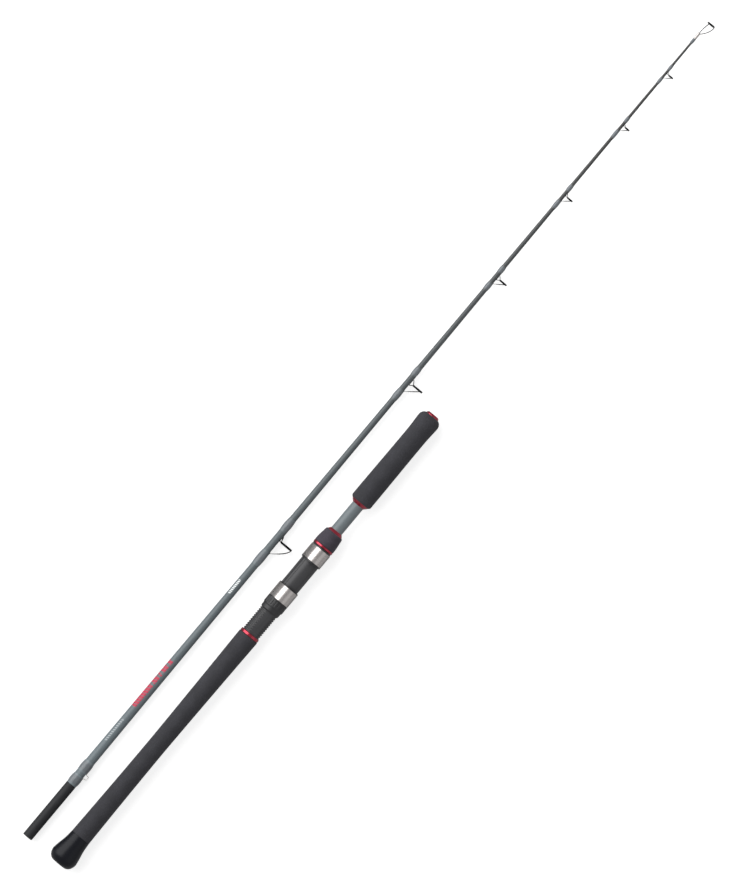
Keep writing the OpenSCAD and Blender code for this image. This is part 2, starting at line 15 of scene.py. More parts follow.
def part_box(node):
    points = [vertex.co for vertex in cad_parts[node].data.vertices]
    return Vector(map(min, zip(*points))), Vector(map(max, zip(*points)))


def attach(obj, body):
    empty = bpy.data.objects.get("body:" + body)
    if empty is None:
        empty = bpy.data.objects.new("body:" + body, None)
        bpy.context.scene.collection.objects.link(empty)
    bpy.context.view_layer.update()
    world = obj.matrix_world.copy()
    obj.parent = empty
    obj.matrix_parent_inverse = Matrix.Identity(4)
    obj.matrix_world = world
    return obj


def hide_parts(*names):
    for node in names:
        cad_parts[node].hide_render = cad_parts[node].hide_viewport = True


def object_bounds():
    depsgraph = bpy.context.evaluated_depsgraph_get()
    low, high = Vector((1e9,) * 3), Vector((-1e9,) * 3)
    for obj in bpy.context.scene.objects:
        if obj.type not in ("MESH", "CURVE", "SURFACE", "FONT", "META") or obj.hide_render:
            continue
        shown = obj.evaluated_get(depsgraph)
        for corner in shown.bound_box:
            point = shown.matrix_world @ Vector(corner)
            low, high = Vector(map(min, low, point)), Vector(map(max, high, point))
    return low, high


bl_info = {
    "name": "Spinning rod",
    "version": (1, 0, 0),
    "blender": (4, 5, 0),
    "location": "View3D > Sidebar > Rod",
    "description": "Builds the finished pieces of a two-piece spinning rod",
    "category": "Object",
}

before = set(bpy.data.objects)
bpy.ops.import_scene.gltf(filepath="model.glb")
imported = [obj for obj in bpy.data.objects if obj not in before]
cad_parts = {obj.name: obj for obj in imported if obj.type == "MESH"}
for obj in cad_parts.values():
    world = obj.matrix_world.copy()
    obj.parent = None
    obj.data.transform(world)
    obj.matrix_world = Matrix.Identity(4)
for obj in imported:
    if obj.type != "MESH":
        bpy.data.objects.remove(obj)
cad_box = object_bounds()

MM = 0.001


# ---- Places that come from the frame ----


def span(node):
    """First and last place of a node along the rod."""
    low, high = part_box(node)
    return low.x, high.x


def widest(node):
    """Largest radius of a turned node."""
    low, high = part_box(node)
    return (high.y - low.y) / 2


def line_of(node):
    """Y and Z of the line that a turned node lies round."""
    low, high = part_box(node)
    return (low.y + high.y) / 2, (low.z + high.z) / 2


HANDLE = (0.0, 0.0)
TIP = line_of("tip_blank")
TUBE_R = widest("handle_tube")
SOCKET_R = widest("spigot_sleeve") + 0.03 * MM
SOCKET_ROOM = 2 * MM  # depth of the socket past the spigot's end
GRIP_END_R = 13.6 * MM  # the rear grip and the butt cap where they meet
THREAD_SHORT = 3.3 * MM  # from the thread's end to the moving hood's mouth
RIDE_FIT = 0.07 * MM  # clearance of the moving hood and the nut on the barrel
NECK_R = 13.175 * MM  # the lock nut's neck, which turns inside the moving hood
NECK_FIT = 0.075 * MM
NECK_LENGTH = 3.2 * MM
LIP_STEP = 0.6 * MM  # how far a hood's lip stands over the hood
SOLID_TIP = 216 * MM  # the end of the blank that is solid
FOOT_GAP = 0.04 * MM  # film of resin between the blank and a guide's foot
PAST = 1 * MM  # how far a cutting tool reaches past what it cuts
WAVE_PITCH = tau / 20  # pitch of a wave texture whose scale is 1
GUIDES = range(1, 7)


# ---- Sizes and colours that a user would change ----


def length(name, description, millimetres):
    """A length property, given in millimetres."""
    return FloatProperty(
        name=name, description=description, default=millimetres * MM,
        min=0, precision=5, subtype="DISTANCE", unit="LENGTH",
    )


def linear(code):
    """The linear colour of an sRGB hex code."""
    parts = [int(code[i:i + 2], 16) / 255 for i in (0, 2, 4)]
    return [p / 12.92 if p <= 0.04045 else ((p + 0.055) / 1.055) ** 2.4 for p in parts]


def colour(name, description, code):
    """A colour property, given as an sRGB hex code."""
    return FloatVectorProperty(
        name=name, description=description, default=linear(code),
        min=0, max=1, size=3, subtype="COLOR",
    )


class RodSizes(bpy.types.PropertyGroup):
    """Sizes of the finished pieces that the frame leaves open."""

    sides: IntProperty(
        name="Sides", description="Sides of a turned piece", default=96, min=24, max=192
    )
    cap_end_r: length("Cap end", "Radius of the butt cap's flat end", 8.6)
    grip_waist_r: length("Grip waist", "Radius of the rear grip's waist", 12.1)
    waist_from_cap: length("Waist place", "Distance from the butt cap to the waist", 147.7)
    grip_edge: length("Grip edge", "Rounding of the foam's ends", 0.7)
    tube_wall: length("Tube wall", "Wall of the handle's tube", 1.6)
    thread_r: length("Thread radius", "Radius over the seat's thread", 12.45)
    thread_depth: length("Thread depth", "Depth of the seat's thread", 0.9)
    thread_pitch: length("Thread pitch", "Advance of the thread in one turn", 3.2)
    keyway_height: length("Keyway height", "Height of the keyway's flat over the axis", 10.7)
    seat_r: length("Seat radius", "Radius of the seat under the reel foot", 12.65)
    arbor_r: length("Arbor radius", "Outer radius of the seat's arbors", 10.2)
    hood_r: length("Hood radius", "Radius of a hood under its band", 13.9)
    roof_up: length("Roof height", "Height of the roofs' centre over the axis", 8)
    roof_r: length("Roof radius", "Radius of a hood's roof under its band", 10.9)
    band_wall: length("Band wall", "Wall of the steel bands", 0.7)
    pocket_r: length("Pocket radius", "Radius of the pocket for the reel foot", 10)
    pocket_depth: length("Pocket depth", "Depth of the pocket for the reel foot", 12.5)
    flute_depth: length("Flute depth", "Depth of the lock nut's finger flutes", 0.5)
    blank_end_r: length("Blank end", "Radius of the blank under the tip-top", 1.35)
    blank_wall: length("Blank wall", "Wall of the blank", 0.85)
    spigot_wall: length("Sleeve wall", "Wall of the spigot's sleeve", 0.6)
    fine_wire: length("Fine wire", "Wire of the hook keeper", 0.8)
    tip_wire: length("Tip-top wire", "Wire of the tip-top's legs", 1)
    flutes: IntProperty(
        name="Flutes", description="Finger flutes round the lock nut", default=20, min=6, max=40
    )
    seat_roll: FloatProperty(
        name="Seat roll", description="Turn of the seat's foot side from straight up",
        default=radians(12), subtype="ANGLE", unit="ROTATION",
    )
    guide_wire: FloatVectorProperty(
        name="Guide wires", description="Wire of each line guide", size=6,
        default=[d * MM for d in (1.3, 1.05, 0.9, 0.8, 0.75, 0.75)],
        precision=5, subtype="NONE", unit="LENGTH",
    )
    guide_meet: FloatVectorProperty(
        name="Guide legs' ends", description="Where the rear legs meet each ring, from its far side",
        size=6, default=[radians(a) for a in (20, 50, 50, 50, 50, 50)],
        subtype="NONE", unit="ROTATION",
    )
    guide_brace: FloatVectorProperty(
        name="Guide braces", description="How far behind its ring each guide's brace starts",
        size=6, default=[d * MM for d in (0, 3, 2.6, 0, 0, 0)],
        precision=5, subtype="NONE", unit="LENGTH",
    )


class RodColours(bpy.types.PropertyGroup):
    """Colours of the rod's finishes."""

    cap: colour("Butt cap", "Polished black of the butt cap", "0c0e15")
    foam: colour("Foam", "Charcoal of the grips' foam", "323236")
    cone_foam: colour("Cone foam", "Foam of the cone ahead of the seat", "3c3840")
    lacquer_handle: colour("Handle lacquer", "Slate lacquer of the handle's tube", "737c80")
    lacquer: colour("Lacquer", "Slate lacquer of the blank", "6c777c")
    lacquer_tip: colour("Lacquer at the tip", "The same lacquer near the tip-top", "40403f")
    winding: colour("Winding", "Guide windings under their resin", "6a7075")
    anodised: colour("Anodised rings", "Red of the trim rings", "ac3042")
    seat: colour("Seat", "Nylon of the reel seat", "373739")
    hood: colour("Hoods", "Nylon of the hoods and the lock nut", "262628")
    steel: colour("Steel", "Brushed steel of the bands", "c2bdbb")
    spigot: colour("Spigot", "Black coating of the spigot", "1f2023")
    arbor: colour("Arbors", "Graphite nylon of the seat's arbors", "4c4c50")
    wire: colour("Guide wire", "Dark plating of the guide frames", "101113")
    ceramic: colour("Ring ceramic", "Ceramic of the guide rings", "121214")
    mark_red: colour("Red mark", "Dashes ahead of the spigot", "b42444")
    mark_pale: colour("Pale mark", "Dashes near the first guide", "e4e8e8")
    mark_grey: colour("Grey mark", "Dashes next to the spigot", "9aa1a4")
    floor: colour("Floor", "Pale floor under the rod", "c0c0c0")


# ---- Materials ----


def new_material(name, **constants):
    """A material with its shader's constants set; the names use _ for a space."""
    material = bpy.data.materials.new(name)
    material.use_nodes = True
    tree = material.node_tree
    shader = tree.nodes["Principled BSDF"]
    for socket, value in constants.items():
        shader.inputs[socket.replace("_", " ")].default_value = value
    return material, tree, shader


def add(tree, kind, inputs=None, **settings):
    """Add a node with its settings; each input is a number, a colour or another's output."""
    node = tree.nodes.new("ShaderNode" + kind)
    for name, value in settings.items():
        setattr(node, name, value)
    for name, value in (inputs or {}).items():
        if isinstance(value, bpy.types.NodeSocket):
            tree.links.new(value, node.inputs[name])
        else:
            node.inputs[name].default_value = value
    return node


def place(tree, stretch=(1, 1, 1), line=(0, 0)):
    """The piece's own coordinates in millimetres, stretched, and centred on its line."""
    coordinates = add(tree, "TexCoord")
    centre = (0, *line)
    return add(tree, "Mapping", {
        "Vector": coordinates.outputs["Object"],
        "Scale": [s / MM for s in stretch],
        "Location": [-s * c / MM for s, c in zip(stretch, centre)],
    }).outputs["Vector"]


def maths(tree, operation, *values, **settings):
    """The result of one sum; each value is a number or another's output."""
    return add(tree, "Math", dict(enumerate(values)), operation=operation, **settings).outputs[0]


def mix(tree, factor, one, two, **settings):
    """One colour mixed into another; each is three numbers or another's output."""
    one, two = (c if isinstance(c, bpy.types.NodeSocket) else (*c, 1) for c in (one, two))
    return add(tree, "Mix", {0: factor, 6: one, 7: two}, data_type="RGBA", **settings).outputs[2]


def noise(tree, scale, detail, stretch=(1, 1, 1)):
    """A cloudy pattern from 0 to 1; its scale is per millimetre."""
    spot = place(tree, stretch)
    return add(tree, "TexNoise", {"Vector": spot, "Scale": scale, "Detail": detail}).outputs[0]


def waves(tree, pitch, stretch=(1, 1, 1), **inputs):
    """Bands across the X axis from 0 to 1, one in every pitch millimetres."""
    inputs |= {"Vector": place(tree, stretch), "Scale": WAVE_PITCH / pitch}
    return add(tree, "TexWave", inputs, bands_direction="X").outputs[1]


def dress(tree, shader, pattern, shades, roughness, depth=0.0):
    """Let one pattern from 0 to 1 drive a finish's colour, roughness and relief; give its colour."""
    tint = mix(tree, pattern, *shades)
    matte = add(tree, "MapRange", {0: pattern, "To Min": roughness[0], "To Max": roughness[1]})
    tree.links.new(tint, shader.inputs["Base Color"])
    tree.links.new(matte.outputs[0], shader.inputs["Roughness"])
    if depth:
        bump = add(tree, "Bump", {"Height": pattern, "Distance": depth})
        tree.links.new(bump.outputs[0], shader.inputs["Normal"])
    return tint


def tones(base, dark, light):
    """A finish's two shades, darker and lighter than its base colour."""
    return [min(1, c * dark) for c in base], [min(1, c * light) for c in base]


def ground_foam(name, base):
    """EVA foam, ground smooth: dull, with fine open cells and a faint mottling.

    The real cells are about 0.3 mm across and are drawn at 0.9 mm, so that they show.
    """
    material, tree, shader = new_material(name, IOR=1.45, Specular_IOR_Level=0.3, Sheen_Weight=0.05)
    cells = add(tree, "TexVoronoi", {"Vector": place(tree), "Scale": 1 / 0.9}).outputs["Distance"]
    mottled = maths(tree, "MULTIPLY", cells, noise(tree, 1 / 14, 5))
    whole = maths(tree, "MULTIPLY", mottled, 2.0, use_clamp=True)
    dress(tree, shader, whole, tones(base, 0.7, 1.5), (0.72, 0.95), 0.14 * MM)
    return material


def clouded(name, base, cloud, shades, roughness, depth=0.0, stretch=(1, 1, 1), **constants):
    """A finish that one noise varies; its cloud is the noise's scale and detail."""
    material, tree, shader = new_material(name, **constants)
    pattern = noise(tree, *cloud, stretch)
    dress(tree, shader, pattern, tones(base, *shades), roughness, depth)
    return material


def polished_nylon(name, base):
    """Moulded nylon, polished: deep blue-black with a soft gloss, scuffed where it stands."""
    return clouded(
        name, base, (0.5, 6), (0.8, 1.35), (0.24, 0.42), 0.02 * MM, (1, 0.25, 1),
        IOR=1.5, Specular_IOR_Level=0.22,
    )


def moulded_nylon(name, base, roughness, grain_mm):
    """Glass-filled nylon from a spark-eroded mould: satin, with a fine even grain and flow lines."""
    material, tree, shader = new_material(name, IOR=1.53, Specular_IOR_Level=0.4)
    grain, flow = noise(tree, 1 / grain_mm, 2), noise(tree, 0.5, 4, (0.08, 1, 1))
    half = maths(tree, "MULTIPLY", maths(tree, "ADD", grain, flow), 0.5)
    around = (roughness - 0.1, roughness + 0.12)
    dress(tree, shader, half, tones(base, 0.6, 1.45), around, 0.06 * MM)
    return material


def anodised_aluminium(name, base):
    """Turned and anodised aluminium: a deep coloured metal under a clear film, with turning lines.

    The tool's feed of 0.08 mm is drawn at 0.4 mm, so that it shows.
    """
    return clouded(
        name, base, (2.5, 3), (0.6, 1.3), (0.2, 0.38), 0.02 * MM, (1, 0.02, 0.02),
        Metallic=1, Coat_Weight=0.6, Coat_Roughness=0.12,
    )


def brushed_steel(name, base, stretch, roughness):
    """Stainless steel, brushed: its hairlines spread the light across them.

    Hairlines of 0.05 mm are drawn at 0.25 mm, so that they show.
    """
    around = (roughness - 0.1, roughness + 0.12)
    return clouded(name, base, (4, 4), (0.8, 1.15), around, 0.012 * MM, stretch, Metallic=1)


def plated_wire(name, base):
    """Stainless wire with a dark plating: smooth metal, a little uneven where it is brazed."""
    return clouded(name, base, (0.8, 4), (0.7, 1.4), (0.22, 0.45), Metallic=1)


def polished_ceramic(name, base):
    """Alumina ring, polished: nearly black and glassy, so that line runs freely."""
    return clouded(name, base, (2, 2), (0.8, 1.4), (0.06, 0.16), IOR=1.76)


def rubbed_coating(name, base):
    """Black coating of the spigot: matte, and rubbed along its length by the socket."""
    material, tree, shader = new_material(name, IOR=1.5, Specular_IOR_Level=0.3)
    streaks, patches = noise(tree, 0.9, 5, (0.05, 1, 1)), noise(tree, 1 / 5, 3)
    wear = maths(tree, "MULTIPLY", maths(tree, "MULTIPLY", streaks, patches), 2.0, use_clamp=True)
    dress(tree, shader, wear, tones(base, 0.55, 1.6), (0.45, 0.7), 0.02 * MM)
    return material


def lacquer_along(tree, along, near, far):
    """The slate lacquer's colour, which darkens towards the tip."""
    way = add(tree, "MapRange", {0: along, "From Min": 150, "From Max": 1150})
    return mix(tree, way.outputs[0], near, far)


def lacquered_blank(name, near, far, marks=()):
    """Slate lacquer over wound carbon tape: satin, with the tape's spiral ridges every 1.6 mm."""
    material, tree, shader = new_material(
        name, IOR=1.5, Specular_IOR_Level=0.4, Coat_Weight=0.12, Coat_Roughness=0.2
    )
    ridges = waves(tree, 1.6, (1, 0.35, 0.35), Distortion=1.2, Detail=2)
    half = maths(tree, "MULTIPLY", maths(tree, "ADD", ridges, noise(tree, 0.9, 5)), 0.5)
    greys = [0.62] * 3, [1.0] * 3
    tint = dress(tree, shader, half, greys, (0.34, 0.5), 0.03 * MM)
    spot = add(tree, "SeparateXYZ", {0: place(tree, line=TIP)})
    slate = lacquer_along(tree, spot.outputs["X"], near, far)
    coat = mix(tree, 1.0, slate, tint, blend_type="MULTIPLY")
    tree.links.new(dashes(tree, coat, spot, marks), shader.inputs["Base Color"])
    return material


def dashes(tree, coat, spot, marks):
    """Lay rows of slanted dashes over a coat, on the side that faces up and towards +Y.

    A mark is its start, its end, its pitch, the filled share, its height and its middle round
    the blank, and its colour: millimetres along the blank, and radians round it.
    """
    along = spot.outputs["X"]
    turned = maths(tree, "ARCTAN2", spot.outputs["Y"], spot.outputs["Z"])
    for start, end, pitch, share, height, middle, paint in marks:
        off = maths(tree, "SUBTRACT", turned, middle)
        slant = maths(tree, "MULTIPLY_ADD", off, 2.5, along)
        part = maths(tree, "FRACT", maths(tree, "DIVIDE", slant, pitch))
        dash = maths(tree, "LESS_THAN", part, share)
        inside = maths(tree, "COMPARE", along, (start + end) / 2, (end - start) / 2)
        row = maths(tree, "COMPARE", off, 0, height / 2)
        shown = maths(tree, "MULTIPLY", maths(tree, "MULTIPLY", dash, inside), row)
        coat = mix(tree, shown, coat, paint)
    return coat


def resin_winding(name, colours):
    """Nylon thread wound round the blank under clear epoxy: fine turns under a thick gloss.

    The thread's pitch of 0.2 mm is drawn at 0.5 mm, so that it shows. The thread shows where
    the winding is thick, and the lacquer shows through its thin ends.
    """
    material, tree, shader = new_material(
        name, IOR=1.55, Specular_IOR_Level=0.4, Coat_Weight=0.3, Coat_Roughness=0.1
    )
    both = maths(tree, "MULTIPLY", waves(tree, 0.5, Distortion=0.3), noise(tree, 0.35, 3))
    shades = tones(colours.winding, 0.72, 1.25)
    thread = dress(tree, shader, both, shades, (0.3, 0.42), 0.015 * MM)
    spot = add(tree, "SeparateXYZ", {0: place(tree)})
    lacquer = lacquer_along(tree, spot.outputs["X"], colours.lacquer, colours.lacquer_tip)
    cover = add(tree, "Attribute", attribute_name="cover").outputs["Fac"]
    tree.links.new(mix(tree, cover, lacquer, thread), shader.inputs["Base Color"])
    return material


def painted_glow_floor(name, base):
    """Opal acrylic with a painted glow: even and pale, with the faintest mottling.

    The glow is painted light that only camera rays see: it shows from above, washes out the rod's shadow
    on the floor, and adds no light of its own to the rod.
    """
    material, tree, shader = new_material(name, Emission_Color=(1, 1, 1, 1), Specular_IOR_Level=0.1)
    # Painted glow: emission for camera rays only, which hides the shadow that the lights cast on the
    # floor.
    seen = add(tree, "LightPath").outputs["Is Camera Ray"]
    tree.links.new(maths(tree, "MULTIPLY", seen, 0.7), shader.inputs["Emission Strength"])
    dress(tree, shader, noise(tree, 1 / 300, 2), tones(base, 0.97, 1.0), (0.85, 0.95))
    return material


# ---- Shapes ----


def spread(start, end, steps):
    """Evenly spaced places from start to end, with both of them."""
    return [start + (end - start) * k / steps for k in range(steps + 1)]


def smooth(points, steps):
    """A smooth curve through (x, radius) points, with steps between each two."""
    curve = []
    last = len(points) - 1
    for i in range(last):
        a, b, c, d = (Vector(points[min(max(k, 0), last)]) for k in (i - 1, i, i + 1, i + 2))
        for k in range(steps):
            t = k / steps
            curve.append(
                (2 * b + (c - a) * t + (2 * a - 5 * b + 4 * c - d) * t * t
                 + (3 * b - a - 3 * c + d) * t ** 3) / 2
            )
    return [tuple(p) for p in curve] + [points[-1]]


def arc(x, r, dx, dr, start, end, steps):
    """Points of an ellipse round (x, r), from one angle to another, 0 being along +X."""
    return [(x + dx * cos(t), r + dr * sin(t)) for t in spread(start, end, steps)]


def softened(points, size):
    """Points of an outline with each inner corner rounded off by a short curve."""
    soft = [points[0]]
    for before, corner, after in zip(points, points[1:], points[2:]):
        a, b, c = Vector(before), Vector(corner), Vector(after)
        cut = min(size, (b - a).length * 0.45, (c - b).length * 0.45)
        start = b + (a - b).normalized() * cut
        end = b + (c - b).normalized() * cut
        for k in range(5):
            t = k / 4
            soft.append(tuple(start * (1 - t) ** 2 + b * 2 * t * (1 - t) + end * t * t))
    return soft + [points[-1]]


def turn(bm, outline, line, sides, poles=False):
    """Spin an outline of (x, radius) points about a line along X.

    Without poles the outline's ends are joined. With poles they lie on the line.
    """
    y, z = line
    corners = [bm.verts.new((x, y, z + r)) for x, r in outline]
    ring = corners if poles else corners + corners[:1]
    edges = [bm.edges.new(pair) for pair in zip(ring, ring[1:])]
    bmesh.ops.spin(
        bm, geom=corners + edges, cent=(0, y, z), axis=(1, 0, 0), angle=tau,
        steps=sides, use_merge=True,
    )
    bmesh.ops.remove_doubles(bm, verts=bm.verts, dist=1e-7)


def sleeve(outer, bore):
    """Outline of a sleeve, from its outer points and its bore's radius."""
    return [*outer, (outer[-1][0], bore), (outer[0][0], bore)]


def sweep(bm, path, radii, sides=16, flat=1.0):
    """Draw a round wire along a path of points in the XY plane or near it, closed at both ends.

    With flat under 1 the wire is that much thinner in the plane than across it.
    """
    def placing(i):
        """Matrix of the wire's round at one point of its path."""
        forward = (path[min(i + 1, len(path) - 1)] - path[max(i - 1, 0)]).normalized()
        side = forward.cross(Vector((0, 0, 1))).normalized()
        up = side.cross(forward)
        turned = Matrix((side * radii[i] * flat, up * radii[i], forward)).transposed()
        return Matrix.Translation(path[i]) @ turned.to_4x4()

    placed = placing(0)
    verts = bmesh.ops.create_circle(bm, segments=sides, radius=1, cap_ends=False, matrix=placed)["verts"]
    edges = list({e for v in verts for e in v.link_edges})
    bmesh.ops.contextual_create(bm, geom=edges)
    for i in range(1, len(path)):
        made = bmesh.ops.extrude_edge_only(bm, edges=edges)["geom"]
        verts = [g for g in made if isinstance(g, bmesh.types.BMVert)]
        fresh = set(verts)
        edges = [g for g in made if isinstance(g, bmesh.types.BMEdge) and set(g.verts) <= fresh]
        following = placing(i)
        bmesh.ops.transform(bm, matrix=following @ placed.inverted(), verts=verts)
        placed = following
    bmesh.ops.contextual_create(bm, geom=edges)


def bent(a, b, c, steps):
    """Points of a curve that leaves a towards b and comes in to c from b."""
    a, b, c = Vector(a), Vector(b), Vector(c)
    return [
        a * (1 - k / steps) ** 2 + b * (2 * k / steps * (1 - k / steps)) + c * (k / steps) ** 2
        for k in range(steps + 1)
    ]


def solid(name, bm):
    """A closed mesh object out of a bmesh, with its faces pointing outwards."""
    bmesh.ops.recalc_face_normals(bm, faces=bm.faces)
    mesh = bpy.data.meshes.new(name)
    bm.to_mesh(mesh)
    bm.free()
    piece = bpy.data.objects.new(name, mesh)
    bpy.context.scene.collection.objects.link(piece)
    return piece


def settle(piece):
    """Make a piece's modifiers part of its mesh."""
    bpy.context.view_layer.update()
    old = piece.data
    made = bpy.data.meshes.new_from_object(piece.evaluated_get(bpy.context.evaluated_depsgraph_get()))
    piece.modifiers.clear()
    piece.data = made
    made.name = piece.name
    bpy.data.meshes.remove(old)
    return piece


def join_solid(piece, tool, operation):
    """Cut a tool from a piece, or join it on, and remove the tool."""
    step = piece.modifiers.new(operation, "BOOLEAN")
    step.operation = operation
    step.solver = "EXACT"
    step.object = tool
    settle(piece)
    mesh = tool.data
    bpy.data.objects.remove(tool)
    bpy.data.meshes.remove(mesh)
    return piece


def soften_edges(piece, width, segments=2, angle=40):
    """Round the piece's sharp edges."""
    step = piece.modifiers.new("edges", "BEVEL")
    step.width = width
    step.segments = segments
    step.limit_method = "ANGLE"
    step.angle_limit = radians(angle)
    step.use_clamp_overlap = True
    return settle(piece)


def finish(piece, material, body, slot, *nodes, crease=35):
    """Shade a piece, give it its material, hang it on its body, and hide the frame's parts that it stands
    for.
    """
    piece.data.materials.clear()
    piece.data.materials.append(material)
    piece.data.shade_smooth()
    piece.data.set_sharp_from_angle(angle=radians(crease))
    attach(piece, body)
    if nodes:
        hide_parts(*nodes)
    return piece


def turned_piece(name, outline, line, sides, poles=False):
    """A turned piece as an object."""
    bm = bmesh.new()
    turn(bm, outline, line, sides, poles)
    return solid(name, bm)


def rod_of(name, x0, x1, radius, up=0.0, sides=96):
    """A plain rod along X, used to bore other pieces."""
    outline = [(x0, 0), (x0, radius), (x1, radius), (x1, 0)]
    return turned_piece(name, outline, (0, up), sides, poles=True)


def tilt(piece, angle):
    """Turn a piece's mesh about the handle's axis."""
    piece.data.transform(Matrix.Rotation(angle, 4, "X"))
    return piece


# ---- Handle ----


class BuildOperator:
    """What each build step shares: the sizes and colours it reads, and how it reports."""

    bl_options = {"REGISTER", "UNDO"}

    def execute(self, context):
        """Build the pieces of this step."""
        self.build(context.scene.rod_sizes, context.scene.rod_colours)
        return {"FINISHED"}


class ROD_OT_butt_cap(BuildOperator, bpy.types.Operator):
    """Butt cap, a polished bell over the end of the tube"""

    bl_idname = "rod.butt_cap"
    bl_label = "Butt cap"

    def build(self, sizes, colours):
        """Turn the cap with its domed end, its waist and its socket."""
        x0, x1 = span("butt_cap")
        full = widest("butt_cap")
        tube_start = span("handle_tube")[0]
        grip_r = GRIP_END_R
        shoulder = x0 + (x1 - x0) * 0.29
        drop = full - grip_r
        dish = 0.6 * MM
        dome = arc(shoulder, sizes.cap_end_r, x0 - shoulder, full - sizes.cap_end_r, 0, pi / 2, 14)
        neck = smooth([
            (shoulder, full), (x0 + (x1 - x0) * 0.48, full - drop * 0.29),
            (x0 + (x1 - x0) * 0.72, grip_r + drop * 0.25), (x1, grip_r),
        ], 8)
        rim = softened([neck[-2], (x1, grip_r), (x1, TUBE_R)], 0.4 * MM)
        end = softened([
            (x0 + dish, 0), (x0 + dish, sizes.cap_end_r * 0.62), (x0, sizes.cap_end_r * 0.72),
            (x0, sizes.cap_end_r),
        ], 0.5 * MM)
        outline = [*end, *dome[1:], *neck[1:-2], *rim, (tube_start, TUBE_R), (tube_start, 0)]
        cap = turned_piece("butt_cap_moulding", outline, HANDLE, sizes.sides, poles=True)
        finish(cap, polished_nylon("polished_black_nylon", colours.cap), "handle", "cap_gloss", "butt_cap")


class ROD_OT_grips(BuildOperator, bpy.types.Operator):
    """Foam grips: the long rear grip, the cone ahead of the seat and the foregrip"""

    bl_idname = "rod.grips"
    bl_label = "Foam grips"

    def build(self, sizes, colours):
        """Turn the three grips, each with rounded ends."""
        foam = ground_foam("ground_eva_foam", colours.foam)
        cone_foam = ground_foam("ground_eva_foam_violet", colours.cone_foam)
        edge = sizes.grip_edge
        shapes = [
            ("rear_grip", self.rear_outline(sizes), foam, "eva_foam"),
            ("cone_grip", self.cone_outline(), cone_foam, "eva_cone"),
        ]
        for node, outer, material, slot in shapes:
            ends = [(outer[0][0], TUBE_R), *outer, (outer[-1][0], TUBE_R)]
            piece = turned_piece(node + "_foam", softened_ends(ends, edge), HANDLE, sizes.sides)
            finish(piece, material, "handle", slot, node)
        piece = turned_piece("foregrip_foam", self.foregrip_outline(), HANDLE, sizes.sides)
        finish(piece, foam, "handle", "eva_foam", "foregrip")

    def rear_outline(self, sizes):
        """The rear grip swells from its waist to both ends."""
        x0, x1 = span("rear_grip")
        rear_r, front_r = GRIP_END_R, widest("rear_grip")
        waist = x0 + sizes.waist_from_cap
        outline = []
        for x in spread(x0, x1, 48):
            if x < waist:
                grow = (rear_r - sizes.grip_waist_r) * ((waist - x) / (waist - x0)) ** 1.6
            else:
                grow = (front_r - sizes.grip_waist_r) * ((x - waist) / (x1 - waist)) ** 1.3
            outline.append((x, sizes.grip_waist_r + grow))
        return outline

    def cone_outline(self):
        """The cone narrows slowly, then rounds over to its trim ring."""
        x0, x1 = span("cone_grip")
        reach = x1 - x0
        full, drop, turn_in = widest("cone_grip"), 1.3 * MM, 1.6 * MM
        slope = [(x0 + reach * 0.72 * k / 8, full - drop * (k / 8) ** 2) for k in range(9)]
        shoulder = arc(
            x0 + reach * 0.72, full - drop - turn_in, reach * 0.28, turn_in, pi / 2, 0, 8
        )
        return slope + shoulder[1:]

    def foregrip_outline(self):
        """The foregrip has a slight waist, flares near its front and takes a ring in each end."""
        x0, x1 = span("foregrip")
        full = widest("foregrip")
        plain, waist_r = full - 0.4 * MM, full - 0.9 * MM
        start, waist, flare = x0 + 3.2 * MM, x0 + (x1 - x0) * 0.75, x1 - 11 * MM
        rear_r, front_r = widest("foregrip_rear_trim"), widest("foregrip_front_trim")
        seat_r = rear_r - 1.2 * MM
        rear_seat, front_seat = span("foregrip_rear_trim")[1], span("foregrip_front_trim")[0]
        body = [
            (x0, rear_r + 0.2 * MM), (x0 + 1.6 * MM, plain - 0.5 * MM),
            (x0 + 2.3 * MM, plain - 0.1 * MM),
        ]
        for k in range(17):
            shrink = (1 + cos(pi * k / 16)) / 2
            body.append((start + (waist - start) * k / 16, waist_r + (plain - waist_r) * shrink))
        for k in range(1, 9):
            grow = 1 - cos(pi * k / 16)
            body.append((waist + (flare - waist) * k / 8, waist_r + (full - waist_r) * grow))
        nose = bent(
            (x1 - 7.2 * MM, full), (x1 - 1.8 * MM, full - 0.95 * MM), (x1, front_r + 0.4 * MM), 12
        )
        return [
            *body, *nose, (x1, front_r), (front_seat, front_r), (front_seat, TUBE_R),
            (rear_seat, TUBE_R), (rear_seat, seat_r), (x0, seat_r),
        ]


def softened_ends(points, size):
    """Outline of a sleeve whose two outer edges are rounded; the curve between stays as it is."""
    first = softened(points[:3], size)
    last = softened(points[-3:], size)
    return [*first[:-1], *points[2:-2], *last[1:]]


